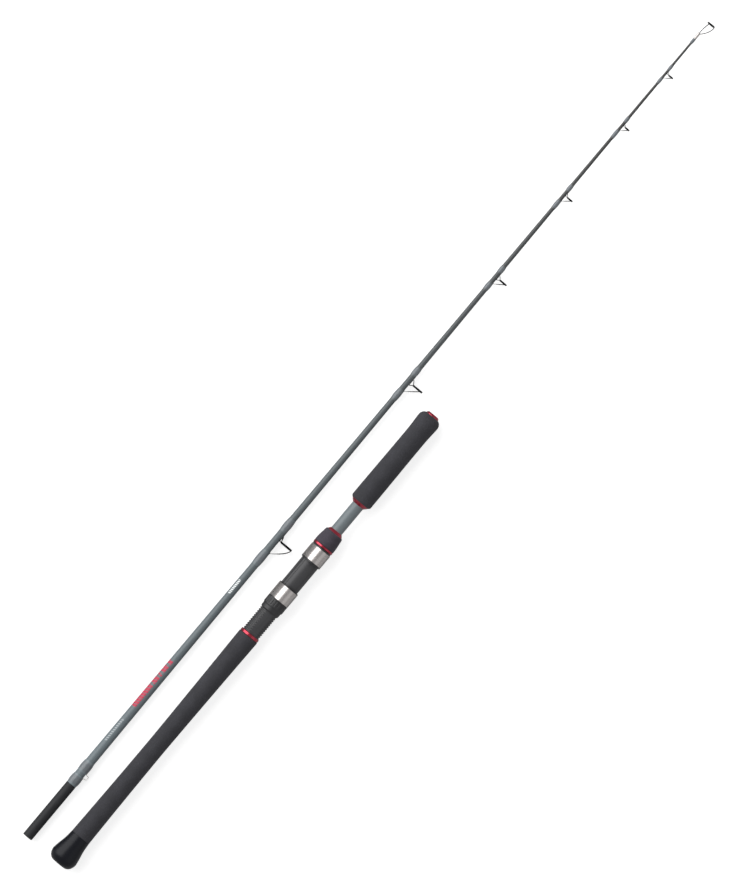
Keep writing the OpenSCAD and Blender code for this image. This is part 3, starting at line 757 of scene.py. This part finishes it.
class ROD_OT_trim_rings(BuildOperator, bpy.types.Operator):
    """Anodised trim rings between the grips, the seat and the tube"""

    bl_idname = "rod.trim_rings"
    bl_label = "Trim rings"

    def build(self, sizes, colours):
        """Turn the five rings, each domed as its place needs."""
        metal = anodised_aluminium("anodised_aluminium_red", colours.anodised)
        cone = span("cone_trim_ring")
        for node, outline in (
            ("rear_trim_ring", sleeve(self.barrel_outline("rear_trim_ring"), TUBE_R)),
            ("mid_trim_ring", sleeve(self.barrel_outline("mid_trim_ring"), TUBE_R)),
            ("cone_trim_ring", sleeve(self.dome(*cone, widest("cone_trim_ring")), TUBE_R)),
            ("foregrip_rear_trim", sleeve(self.cup_outline(), TUBE_R)),
            ("foregrip_front_trim", self.mouth_outline()),
        ):
            piece = turned_piece(node.replace("trim", "anodised"), outline, HANDLE, sizes.sides)
            finish(piece, metal, "handle", "red_trim", node)

    def barrel_outline(self, node):
        """A ring rounded on both edges."""
        x0, x1 = span(node)
        full, soft = widest(node), 1 * MM
        rear = arc(x0 + soft, full - soft, soft, soft, pi, pi / 2, 8)
        front = arc(x1 - soft, full - soft, soft, soft, pi / 2, 0, 8)
        return rear + front

    def dome(self, x0, x1, full):
        """A dome that is full at x0 and falls to just over the tube at x1."""
        low = TUBE_R + 0.4 * MM
        return bent((x0, full), (x0 + (x1 - x0) * 0.4, low + (full - low) * 0.7), (x1, low), 14)

    def cup_outline(self):
        """The foregrip's rear ring rises to the foam and has a seat inside it."""
        x0, x1 = span("foregrip_rear_trim")
        foam_x = span("foregrip")[0]
        full = widest("foregrip_rear_trim")
        seat_r = full - 1.2 * MM
        return [*reversed(self.dome(foam_x, x0, full)), (foam_x, seat_r), (x1, seat_r)]

    def mouth_outline(self):
        """The foregrip's front ring caps the tube and rims the socket's mouth."""
        x0, x1 = span("foregrip_front_trim")
        foam_end, tube_end = span("foregrip")[1], span("handle_tube")[1]
        full = widest("foregrip_front_trim")
        nose = bent(
            (foam_end + 0.3 * MM, full), (foam_end + 2 * MM, full - 0.5 * MM),
            (x1, SOCKET_R + 0.35 * MM), 10,
        )
        return [
            (x0, full), (foam_end, full), *nose, (x1, SOCKET_R), (tube_end, SOCKET_R),
            (tube_end, TUBE_R), (x0, TUBE_R),
        ]


class ROD_OT_handle_tube(BuildOperator, bpy.types.Operator):
    """Handle's tube, with the ferrule socket in its front end"""

    bl_idname = "rod.handle_tube"
    bl_label = "Handle tube"

    def build(self, sizes, colours):
        """Turn the tube with its socket and a softened mouth."""
        x0, x1 = span("handle_tube")
        bottom = x1 - (span("spigot_sleeve")[1] + SOCKET_ROOM)
        inner = TUBE_R - sizes.tube_wall
        mouth = softened([
            (x1 - 4 * MM, TUBE_R), (x1, TUBE_R), (x1, SOCKET_R), (x1 - 4 * MM, SOCKET_R),
        ], 0.3 * MM)
        outline = [(x0, inner), (x0, TUBE_R), *mouth, (bottom, SOCKET_R), (bottom, inner)]
        tube = turned_piece("handle_tube_blank", outline, HANDLE, sizes.sides)
        slate = [colours.lacquer_handle] * 2
        finish(tube, lacquered_blank("slate_lacquer_handle", *slate), "handle", "blank", "handle_tube")


# ---- Reel seat ----


def hood_solid(name, x0, x1, body_r, roof_r, sizes):
    """A round body with a raised roof, from x0 to x1, as the hull of its end circles."""
    bm = bmesh.new()
    for radius, up in ((body_r, 0), (roof_r, sizes.roof_up)):
        for x in (x0, x1):
            where = Matrix.Translation((x, 0, up)) @ Matrix.Rotation(pi / 2, 4, "Y")
            bmesh.ops.create_circle(bm, segments=144, radius=radius, matrix=where)
    bmesh.ops.delete(bm, geom=bm.edges[:], context="EDGES_FACES")
    hull = bmesh.ops.convex_hull(bm, input=bm.verts)
    inside = {g for g in hull["geom_interior"] if isinstance(g, bmesh.types.BMVert)}
    bmesh.ops.delete(bm, geom=list(inside), context="VERTS")
    bmesh.ops.dissolve_limit(
        bm, angle_limit=radians(0.5), verts=bm.verts, edges=bm.edges, use_dissolve_boundaries=False
    )
    return tilt(solid(name, bm), sizes.seat_roll)


def box_of(name, low, high, roll):
    """A plain block between two corners, turned about the handle's axis, used to cut slots."""
    bm = bmesh.new()
    size = Vector(high) - Vector(low)
    middle = (Vector(high) + Vector(low)) / 2
    bmesh.ops.create_cube(bm, size=1, matrix=Matrix.Translation(middle) @ Matrix.Diagonal((*size, 1)))
    return tilt(solid(name, bm), roll)


class ROD_OT_seat_barrel(BuildOperator, bpy.types.Operator):
    """Reel seat's barrel, with its thread, its keyway and its foot surface"""

    bl_idname = "rod.seat_barrel"
    bl_label = "Seat barrel"

    def build(self, sizes, colours):
        """Cut the thread and its keyway, join the plain half, and bore it for the arbors."""
        x0, x1 = span("seat_barrel")
        mouth = span("moving_hood")[1]
        thread_end = mouth - THREAD_SHORT
        barrel = tilt(self.threaded(x0, thread_end + 1 * MM, sizes), sizes.seat_roll)
        full = sizes.seat_r
        outline = softened([
            (thread_end, 0), (thread_end, full), (x1, full), (x1, 0),
        ], 0.35 * MM)
        plain = turned_piece("plain_half", outline, HANDLE, 144, poles=True)
        join_solid(barrel, plain, "UNION")
        bore = rod_of("bore", x0 - PAST, x1 + PAST, sizes.arbor_r)
        join_solid(barrel, bore, "DIFFERENCE")
        for angle in (33, 52):
            slot = box_of(
                "slot", (thread_end + 1.5 * MM, -0.4 * MM, full - 0.45 * MM),
                (x1 - 1 * MM, 0.4 * MM, full + 1 * MM), -radians(angle),
            )
            join_solid(barrel, slot, "DIFFERENCE")
        barrel.name = "seat_barrel_moulding"
        nylon = moulded_nylon("glass_filled_nylon_seat", colours.seat, 0.42, 0.9)
        finish(barrel, nylon, "handle", "seat_nylon", "seat_barrel", crease=28)

    def threaded(self, x0, x1, sizes):
        """A right-hand thread from x0 to x1 with the keyway's flat, closed all round."""
        pitch, crest = sizes.thread_pitch, sizes.thread_r
        root = crest - sizes.thread_depth
        start = x0 - 1.5 * pitch
        turns = int((x1 - start) / pitch) + 2
        around = 72
        bm = bmesh.new()
        shape = softened([
            (0, root), (0.1, root), (0.3, crest), (0.6, crest), (0.8, root), (1, root),
        ], 0.06 * MM)
        corners = [bm.verts.new((start + pitch * x, 0, r)) for x, r in shape]
        edges = [bm.edges.new(pair) for pair in zip(corners, corners[1:])]
        bmesh.ops.spin(
            bm, geom=corners + edges, cent=(0, 0, 0), axis=(1, 0, 0),
            dvec=(pitch / around, 0, 0), angle=tau * turns, steps=around * turns,
        )
        bmesh.ops.remove_doubles(bm, verts=bm.verts, dist=2e-6)
        for point, way in (((x0, 0, 0), (-1, 0, 0)), ((x1, 0, 0), (1, 0, 0)),
                           ((0, 0, sizes.keyway_height), (0, 0, 1))):
            cut = bmesh.ops.bisect_plane(
                bm, geom=bm.verts[:] + bm.edges[:] + bm.faces[:], dist=1e-7,
                plane_co=point, plane_no=way, clear_outer=True,
            )["geom_cut"]
            rim = [g for g in cut if isinstance(g, bmesh.types.BMEdge) and g.is_boundary]
            bmesh.ops.contextual_create(bm, geom=rim)
        return solid("seat_barrel_thread", bm)


class ROD_OT_hoods(BuildOperator, bpy.types.Operator):
    """Both hoods of the reel seat, with their brushed steel bands"""

    bl_idname = "rod.hoods"
    bl_label = "Hoods and bands"

    def build(self, sizes, colours):
        """Make the fixed and the moving hood, then a band for each."""
        nylon = moulded_nylon("glass_filled_nylon_hood", colours.hood, 0.36, 0.6)
        steel = brushed_steel("brushed_stainless_band", colours.steel, (1, 0.03, 0.03), 0.27)
        fixed = span("fixed_hood")
        hood = self.make_hood("fixed_hood", *fixed, 1, sizes.seat_r, sizes)
        finish(hood, nylon, "handle", "hood_nylon", "fixed_hood", crease=28)
        moving = span("moving_hood")
        hood = self.make_hood("moving_hood", moving[1], moving[0], -1, sizes.seat_r + RIDE_FIT, sizes)
        key_start = moving[0] + NECK_LENGTH
        neck = rod_of("neck", moving[0] - PAST, key_start, NECK_R + NECK_FIT)
        join_solid(hood, neck, "DIFFERENCE")
        key = box_of(
            "key", (key_start, -4.5 * MM, sizes.keyway_height + RIDE_FIT),
            (moving[1] - sizes.pocket_depth - 0.5 * MM, 4.5 * MM, sizes.seat_r + 0.6 * MM),
            sizes.seat_roll,
        )
        join_solid(hood, key, "UNION")
        finish(hood, nylon, "hood", "hood_nylon", "moving_hood", crease=28)
        for node, body in (("fixed_hood_band", "handle"), ("moving_hood_band", "hood")):
            self.make_band(node, sizes, steel, body)

    def make_hood(self, node, mouth, tail, way, bore_r, sizes):
        """A hood with its lip, its bore and its pocket. Way is +1 where it runs to +X."""
        lip_end = span(node + "_band")[0 if way > 0 else 1]
        lip_r, lip_roof = sizes.hood_r + LIP_STEP, sizes.roof_r + LIP_STEP
        overlap = way * 0.5 * MM
        hood = hood_solid(node + "_moulding", *sorted((mouth, lip_end)), lip_r, lip_roof, sizes)
        soften_edges(hood, 0.45 * MM, 3)
        back = hood_solid(
            "back", *sorted((lip_end - overlap, tail)), sizes.hood_r, sizes.roof_r, sizes
        )
        join_solid(hood, back, "UNION")
        low, high = sorted((mouth - way * PAST, tail + way * PAST))
        join_solid(hood, rod_of("bore", low, high, bore_r, sides=144), "DIFFERENCE")
        low, high = sorted((mouth - way * PAST, mouth + way * sizes.pocket_depth))
        pocket = tilt(rod_of("pocket", low, high, sizes.pocket_r, sizes.roof_up), sizes.seat_roll)
        return join_solid(hood, pocket, "DIFFERENCE")

    def make_band(self, node, sizes, steel, body):
        """A steel band round a hood, with its two edges turned soft."""
        x0, x1 = span(node)
        outer_r, outer_roof = sizes.hood_r + sizes.band_wall, sizes.roof_r + sizes.band_wall
        band = hood_solid(node.replace("hood_band", "band_steel"), x0, x1, outer_r, outer_roof, sizes)
        soften_edges(band, 0.3 * MM, 3)
        inner = hood_solid("inner", x0 - PAST, x1 + PAST, sizes.hood_r, sizes.roof_r, sizes)
        join_solid(band, inner, "DIFFERENCE")
        finish(band, steel, body, "steel_band", node, crease=28)


class ROD_OT_lock_nut(BuildOperator, bpy.types.Operator):
    """Lock nut, fluted for the fingers, whose neck turns inside the moving hood"""

    bl_idname = "rod.lock_nut"
    bl_label = "Lock nut"

    def build(self, sizes, colours):
        """Turn the nut, then press the flutes into its wide half."""
        x0, tip = span("lock_nut")
        end = span("moving_hood")[0] - 0.2 * MM
        full = widest("lock_nut")
        bore = sizes.thread_r + RIDE_FIT
        flute_start, flute_end = x0 + 8 * MM, end - 1.4 * MM
        rear = softened([
            (x0, bore), (x0, full - 1.9 * MM), (x0 + 1.2 * MM, full - 1.1 * MM),
            (x0 + 6 * MM, full - 1 * MM), (x0 + 7 * MM, full - 0.3 * MM), (x0 + 8.5 * MM, full),
            (x0 + 9 * MM, full),
        ], 0.35 * MM)
        middle = [(x, full) for x in spread(x0 + 9 * MM, end - 1.2 * MM, 14)[1:]]
        front = softened([middle[-1], (end, full), (end, NECK_R), (tip, NECK_R), (tip, bore)], 0.3 * MM)
        outline = [*rear, *middle[:-1], *front]
        bm = bmesh.new()
        turn(bm, outline, HANDLE, sizes.flutes * 12)
        for v in bm.verts:
            radius = Vector((v.co.y, v.co.z)).length
            if radius < full - 0.5 * MM or not flute_start < v.co.x < flute_end:
                continue
            ease = min(1, (v.co.x - flute_start) / MM, (flute_end - v.co.x) / MM)
            groove = max(0, cos(sizes.flutes * atan2(v.co.y, v.co.z))) ** 3
            by = 1 - sizes.flute_depth * ease * groove / radius
            v.co.y *= by
            v.co.z *= by
        nut = solid("lock_nut_moulding", bm)
        nylon = moulded_nylon("glass_filled_nylon_nut", colours.hood, 0.4, 1.1)
        finish(nut, nylon, "nut", "nut_nylon", "lock_nut")


class ROD_OT_arbors(BuildOperator, bpy.types.Operator):
    """Bushes between the seat's barrel and the tube, kept as the frame has them"""

    bl_idname = "rod.arbors"
    bl_label = "Arbors"

    def build(self, sizes, colours):
        """Give both bushes their finish."""
        graphite = moulded_nylon("moulded_graphite_bush", colours.arbor, 0.5, 0.8)
        for node in ("seat_arbor_rear", "seat_arbor_front"):
            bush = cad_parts[node]
            bush.data.materials.clear()
            bush.data.materials.append(graphite)


# ---- Tip section ----


def blank_r(x, sizes):
    """Radius of the tip section's blank at x."""
    x0, x1 = span("spigot_sleeve")[1], span("tip_blank")[1]
    full = widest("tip_blank")
    return full + (sizes.blank_end_r - full) * (x - x0) / (x1 - x0)


class ROD_OT_tip_blank(BuildOperator, bpy.types.Operator):
    """Tapered blank of the tip section, and the black sleeve of its spigot"""

    bl_idname = "rod.tip_blank"
    bl_label = "Tip blank and spigot"

    def build(self, sizes, colours):
        """Turn the blank, hollow to near its tip, then the spigot's sleeve."""
        start, spigot_end = span("spigot_sleeve")
        first, last = span("tip_blank")
        spigot_r = widest("spigot_sleeve")
        inner = spigot_r - sizes.spigot_wall
        solid_from = last - SOLID_TIP
        outline = [
            (solid_from, 0), (solid_from, blank_r(solid_from, sizes) - sizes.blank_wall),
            (spigot_end + 10 * MM, inner - sizes.blank_wall), (first, inner - sizes.blank_wall),
            (first, inner), (spigot_end, inner),
            *[(x, blank_r(x, sizes)) for x in spread(spigot_end, last, 30)], (last, 0),
        ]
        blank = turned_piece("tip_blank_lacquered", outline, TIP, 64, poles=True)
        marks = [(156, 192, 3.2, 0.6, 0.5, 0.45, colours.mark_grey)]
        for ends in ((212, 247), (250, 260), (262.5, 265.5), (268.5, 278), (281, 286.5)):
            marks.append((*ends, 4.4, 0.82, 1.5, 0.78, colours.mark_red))
        marks.append((397.5, 419.5, 2.6, 0.6, 0.66, 0.44, colours.mark_pale))
        slate = colours.lacquer, colours.lacquer_tip
        paint = lacquered_blank("slate_lacquer_tip", *slate, marks)
        finish(blank, paint, "tip_section", "blank", "tip_blank")
        nose = softened([
            (start, inner), (start, spigot_r - 0.5 * MM), (start + 0.6 * MM, spigot_r),
            (start + 4 * MM, spigot_r),
        ], 0.3 * MM)
        sleeve_outline = [*nose, (spigot_end, spigot_r), (spigot_end, inner)]
        spigot = turned_piece("spigot_sleeve_coated", sleeve_outline, TIP, sizes.sides)
        coating = rubbed_coating("rubbed_black_coating", colours.spigot)
        finish(spigot, coating, "tip_section", "spigot_black", "spigot_sleeve")


class ROD_OT_windings(BuildOperator, bpy.types.Operator):
    """Thread windings under resin, over every foot and beside the hook keeper"""

    bl_idname = "rod.windings"
    bl_label = "Windings"

    def build(self, sizes, colours):
        """Swell each winding over the blank and draw its ends down to it."""
        resin = resin_winding("epoxy_over_nylon_winding", colours)
        nodes = ["keeper_wrap_1", "keeper_wrap_2", "tip_top_wrap"]
        nodes += [f"guide_{k}_wrap_{end}" for k in GUIDES for end in ("rear", "front")]
        for node in nodes:
            x0, x1 = span(node)
            rise = widest(node) - blank_r((x0 + x1) / 2, sizes)
            steps = 36
            outer = []
            for k in range(steps + 1):
                t = k / steps
                x = x0 + (x1 - x0) * t
                swell = 0.05 * MM + (rise - 0.05 * MM) * sin(pi * t) ** 0.85
                outer.append((x, blank_r(x, sizes) + swell))
            inner = [(x1, blank_r(x1, sizes) - 0.05 * MM), (x0, blank_r(x0, sizes) - 0.05 * MM)]
            piece = turned_piece(node + "_resin", outer + inner, TIP, 64)
            cover = piece.data.attributes.new("cover", "FLOAT", "POINT")
            for vertex, share in zip(piece.data.vertices, cover.data):
                along = min(1, max(0, (vertex.co.x - x0) / (x1 - x0)))
                share.value = min(1, max(0, 2.2 * sin(pi * along) - 0.35))
            finish(piece, resin, "tip_section", "wrap_resin", node, crease=50)


def at_tip(x, y, z):
    """A point given from the tip section's axis."""
    return Vector((x, TIP[0] + y, TIP[1] + z))


class ROD_OT_hook_keeper(BuildOperator, bpy.types.Operator):
    """Hook keeper, a small wire bail that stands between two windings"""

    bl_idname = "rod.hook_keeper"
    bl_label = "Hook keeper"

    def build(self, sizes, colours):
        """Bend one wire into feet, legs and a rounded top."""
        gap = span("keeper_wrap_1")[1], span("keeper_wrap_2")[0]
        middle = (gap[0] + gap[1]) / 2
        wire = sizes.fine_wire
        reach = TIP[0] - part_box("hook_keeper")[0].y - wire / 2
        low = blank_r(middle, sizes) + wire / 2 + 0.05 * MM
        half = 3.1 * MM - wire / 2
        foot = 5.5 * MM
        path = [
            (middle - half - foot, -low), (middle - half - 1.4 * MM, -low),
            (middle - half, -low - 1.3 * MM), (middle - half + 0.1 * MM, 0.9 * MM - reach),
            (middle - half + 1.1 * MM, -reach), (middle + half - 1.1 * MM, -reach),
            (middle + half - 0.1 * MM, 0.9 * MM - reach), (middle + half, -low - 1.3 * MM),
            (middle + half + 1.4 * MM, -low), (middle + half + foot, -low),
        ]
        route = [at_tip(x, y, 0) for x, y in smooth(path, 6)]
        bm = bmesh.new()
        sweep(bm, route, [wire / 2] * len(route))
        piece = solid("hook_keeper_wire", bm)
        steel = brushed_steel("drawn_stainless_wire", colours.steel, (1, 1, 1), 0.28)
        finish(piece, steel, "tip_section", "keeper_wire", "hook_keeper")


def holder_wall(radius):
    """Wall of the metal holder of a guide's ring."""
    return 0.5 * MM + 0.05 * radius


def leg_line(radius, wire):
    """Distance from a ring's line to the middle of a leg that meets its holder."""
    return radius - holder_wall(radius) + wire / 2 + 0.05 * MM


def ring_outlines(x, radius):
    """Outlines of a guide's ring about x: its metal holder and its ceramic insert."""
    half = 0.6 * MM + 0.065 * radius
    insert_wall = 0.4 * MM + 0.07 * radius
    holder_bore = radius - holder_wall(radius)
    holder = softened([
        (-half, holder_bore), (-half, radius), (half, radius), (half, holder_bore),
    ], 0.3 * MM)
    wide = half + 0.15 * MM
    land, lip = wide * 0.4, insert_wall * 0.6
    edge = holder_bore - insert_wall + lip
    front = arc(land, edge, wide - land, -lip, 0, pi / 2, 8)
    rear = arc(-land, edge, land - wide, -lip, pi / 2, 0, 8)
    insert = [(-wide, holder_bore), (wide, holder_bore), *front, *rear]
    return [[(x + dx, r) for dx, r in shape] for shape in (holder, insert)]


def ceramic_ring(node, insert, line, material):
    """The ceramic insert of a ring, from its outline."""
    ring = turned_piece(node + "_ceramic", insert, line, 72)
    finish(ring, material, "tip_section", "guide_ring", node + "_ring")


def ring_place(node):
    """Where a guide's ring lies: its middle, its holder's radius and its line's distance."""
    radius = (widest(node) + 0.5 * MM) / 0.95
    return sum(span(node)) / 2, radius, TIP[0] - line_of(node)[0]


def even(path, wire, start):
    """Radii of a wire that starts thin and is full a third of the way along its path."""
    last = len(path) - 1
    return [(start + (wire - start) * min(1, 3 * k / last)) / 2 for k in range(last + 1)]


def braze(piece, voxel):
    """Melt a frame's wires into one skin, with a fillet wherever two of them meet."""
    melt = piece.modifiers.new("melt", "REMESH")
    melt.mode = "VOXEL"
    melt.voxel_size = voxel
    melt.use_smooth_shade = True
    flow = piece.modifiers.new("flow", "SMOOTH")
    flow.factor = 0.5
    flow.iterations = 4
    return settle(piece)


class ROD_OT_guides(BuildOperator, bpy.types.Operator):
    """Six line guides, each a wire frame brazed to a holder, with a ceramic ring"""

    bl_idname = "rod.guides"
    bl_label = "Line guides"

    def build(self, sizes, colours):
        """Make every guide's frame and ring from its box in the frame."""
        plated = plated_wire("dark_plated_wire", colours.wire)
        ceramic = polished_ceramic("polished_alumina_ring", colours.ceramic)
        for k in GUIDES:
            node = f"guide_{k}"
            x, radius, centre = ring_place(node + "_ring")
            holder, insert = ring_outlines(x, radius)
            wires = self.wires(k, x, radius, centre, holder, sizes)
            braze(wires, sizes.guide_wire[k - 1] / 8)
            finish(wires, plated, "tip_section", "guide_metal", node + "_frame", crease=60)
            ceramic_ring(node, insert, (TIP[0] - centre, TIP[1]), ceramic)

    def wires(self, k, x, radius, centre, holder, sizes):
        """A guide's holder, its two feet, its two bowed rear legs, its front strut and its brace."""
        node = f"guide_{k}"
        wire, meet = sizes.guide_wire[k - 1], sizes.guide_meet[k - 1]
        brace_x = x - sizes.guide_brace[k - 1]
        rear_x, front_x = span(node + "_wrap_rear")[1], span(node + "_wrap_front")[0]
        foot_start, foot_end = span(node + "_frame")
        thin = 0.42 * wire
        leg_r = leg_line(radius, wire)
        middle_r = radius - holder_wall(radius) / 2
        out, apart = (0.9, 0.62) if k == 1 else (-0.1, 1.35)
        bm = bmesh.new()
        turn(bm, holder, (TIP[0] - centre, TIP[1]), 72)
        for start, end in ((foot_start, rear_x + wire * 0.6), (foot_end, brace_x - wire * 0.3)):
            shape = [min(1, 0.45 + 0.2 * i) for i in range(9)]
            points = [
                at_tip(p, -blank_r(p, sizes) - FOOT_GAP - thin * s / 2, 0)
                for p, s in zip(spread(start, end, 8), shape)
            ]
            sweep(bm, points, [wire * s for s in shape], 16, flat=0.21)
        rear_low = blank_r(rear_x, sizes) + thin / 2 + FOOT_GAP
        front_low = blank_r(front_x, sizes) + thin / 2 + FOOT_GAP
        for side in (-1, 1):
            legs = bent(
                at_tip(rear_x - wire * 0.5, -rear_low, side * wire * 0.44),
                at_tip(rear_x + (x - rear_x) * 0.62, -centre - middle_r * out, side * middle_r * apart),
                at_tip(x - wire * 0.2, -centre - leg_r * cos(meet), side * leg_r * sin(meet)), 24,
            )
            sweep(bm, legs, even(legs, wire, thin))
        post_y = -(front_low + centre - middle_r) / 2
        strut = bent(
            at_tip(front_x - (front_x - x) * 0.25, -front_low, 0),
            at_tip(x + (front_x - x) * 0.45, post_y, 0),
            at_tip(x + wire * 0.2, -centre + middle_r, 0), 12,
        )
        sweep(bm, strut, even(strut, wire, thin))
        brace = bent(
            at_tip(brace_x, -front_low, 0), at_tip((brace_x + x) / 2, post_y, 0),
            at_tip(x, -centre + middle_r, 0), 6,
        )
        sweep(bm, brace, [wire / 2] * len(brace))
        return solid(node + "_wires", bm)


class ROD_OT_tip_top(BuildOperator, bpy.types.Operator):
    """Tip-top: a steel tube over the blank's end, three legs and a ceramic ring"""

    bl_idname = "rod.tip_top"
    bl_label = "Tip-top"

    def build(self, sizes, colours):
        """Make the tube, the legs with their holder, and the ring."""
        tube_start = span("tip_top_frame")[0]
        blank_end = span("tip_blank")[1]
        tube_end = blank_end + 1 * MM
        x, radius, centre = ring_place("tip_top_ring")
        tube_r = sizes.blank_end_r + 0.55 * MM
        tube = softened([
            (tube_start, sizes.blank_end_r + 0.32 * MM), (tube_start, tube_r), (tube_end, tube_r),
            (tube_end, 0.6 * MM), (blank_end, 0.6 * MM), (blank_end, sizes.blank_end_r + 0.32 * MM),
        ], 0.25 * MM)
        piece = turned_piece("tip_top_tube", tube, TIP, 48)
        steel = brushed_steel("drawn_stainless_tube", colours.steel, (0.1, 1, 1), 0.26)
        finish(piece, steel, "tip_section", "guide_metal")

        holder, insert = ring_outlines(x, radius)
        line = (TIP[0] - centre, TIP[1])
        wire = sizes.tip_wire
        leg_r = leg_line(radius, wire)
        bm = bmesh.new()
        turn(bm, holder, line, 72)
        leg_start, bow_x, side_angle = tube_end - 0.8 * MM, tube_end + 8.5 * MM, radians(62)
        for side in (-1, 1):
            leg = bent(
                at_tip(leg_start, 0, side * (tube_r - 0.3 * MM)),
                at_tip(bow_x, 0.4 * MM, side * leg_r),
                at_tip(x - 0.2 * MM, -centre + leg_r * cos(side_angle),
                       side * leg_r * sin(side_angle)), 20,
            )
            sweep(bm, leg, [wire / 2] * len(leg))
        outer = bent(
            at_tip(leg_start, 0.3 * MM - tube_r, 0),
            at_tip(bow_x, -centre - leg_r * 1.1, 0),
            at_tip(x - 0.2 * MM, -centre - leg_r, 0), 20,
        )
        sweep(bm, outer, [wire / 2] * len(outer))
        legs = braze(solid("tip_top_wires", bm), wire / 8)
        plated = plated_wire("dark_plated_tip_wire", colours.wire)
        finish(legs, plated, "tip_section", "guide_metal", "tip_top_frame", crease=60)
        ceramic = polished_ceramic("polished_alumina_tip", colours.ceramic)
        ceramic_ring("tip_top", insert, line, ceramic)


# ---- Stage ----


class ROD_OT_stage(BuildOperator, bpy.types.Operator):
    """Pale floor, soft studio light and the camera straight above"""

    bl_idname = "rod.stage"
    bl_label = "Stage"

    def build(self, sizes, colours):
        """Lay the floor under the rod, hang the lights and place the camera."""
        low, high = cad_box
        middle = (low + high) / 2
        bm = bmesh.new()
        bmesh.ops.create_grid(
            bm, x_segments=1, y_segments=1, size=8,
            matrix=Matrix.Translation((middle.x, middle.y, low.z - 0.3 * MM)),
        )
        floor = solid("pale_floor", bm)
        floor.data.materials.append(painted_glow_floor("opal_acrylic_painted_glow", colours.floor))
        world = bpy.data.worlds.new("soft_room")
        world.use_nodes = True
        background = world.node_tree.nodes["Background"]
        background.inputs["Color"].default_value = (1, 1, 1, 1)
        background.inputs["Strength"].default_value = 0.46
        bpy.context.scene.world = world
        self.hang_light("key_light", middle, 52, 2.1, (3.2, 2.6), 68)
        self.hang_light("fill_light", middle, -50, 1.9, (3.2, 1.5), 4)
        self.place_camera()
        bpy.context.scene.view_settings.view_transform = "Standard"

    def hang_light(self, name, middle, lean, distance, size, power):
        """A softbox that leans over the rod, lean degrees from straight up towards +Y."""
        lamp = bpy.data.lights.new(name, "AREA")
        lamp.shape = "RECTANGLE"
        lamp.size, lamp.size_y = size
        lamp.energy = power
        holder = bpy.data.objects.new(name, lamp)
        angle = radians(lean)
        holder.location = middle + Vector((0, sin(angle), cos(angle))) * distance
        holder.rotation_euler = (-angle, 0, 0)
        bpy.context.scene.collection.objects.link(holder)

    def place_camera(self):
        """Straight above, with the rod running from bottom left to top right."""
        lens = bpy.data.cameras.new("camera")
        lens.lens = 400
        lens.clip_end = 50
        holder = bpy.data.objects.new("camera", lens)
        frame_height = 1112.5 * MM
        holder.location = (652.8 * MM, 42.5 * MM, frame_height * lens.lens / lens.sensor_width)
        holder.rotation_euler = (0, 0, -radians(50.1))
        bpy.context.scene.collection.objects.link(holder)
        bpy.context.scene.camera = holder


OPERATORS = [
    ROD_OT_stage, ROD_OT_butt_cap, ROD_OT_grips, ROD_OT_trim_rings, ROD_OT_handle_tube,
    ROD_OT_seat_barrel, ROD_OT_hoods, ROD_OT_lock_nut, ROD_OT_arbors, ROD_OT_tip_blank,
    ROD_OT_windings, ROD_OT_hook_keeper, ROD_OT_guides, ROD_OT_tip_top,
]


class ROD_PT_pieces(bpy.types.Panel):
    """Lists the steps that build the rod"""

    bl_idname = "ROD_PT_pieces"
    bl_label = "Spinning rod"
    bl_space_type = "VIEW_3D"
    bl_region_type = "UI"
    bl_category = "Rod"

    def draw(self, context):
        """Draw one button for each step, then the sizes and the colours."""
        for step in OPERATORS:
            self.layout.operator(step.bl_idname)
        for group in (context.scene.rod_sizes, context.scene.rod_colours):
            column = self.layout.column()
            for name in group.__annotations__:
                column.prop(group, name)


CLASSES = [RodSizes, RodColours, *OPERATORS, ROD_PT_pieces]


def register():
    """Register the classes and hang the sizes and colours on the scene."""
    for item in CLASSES:
        bpy.utils.register_class(item)
    bpy.types.Scene.rod_sizes = PointerProperty(type=RodSizes)
    bpy.types.Scene.rod_colours = PointerProperty(type=RodColours)


def unregister():
    """Undo what register does."""
    del bpy.types.Scene.rod_colours
    del bpy.types.Scene.rod_sizes
    for item in reversed(CLASSES):
        bpy.utils.unregister_class(item)


def main():
    """Build every piece in order."""
    register()
    for step in OPERATORS:
        group, name = step.bl_idname.split(".")
        getattr(getattr(bpy.ops, group), name)()


if __name__ == "__main__":
    main()
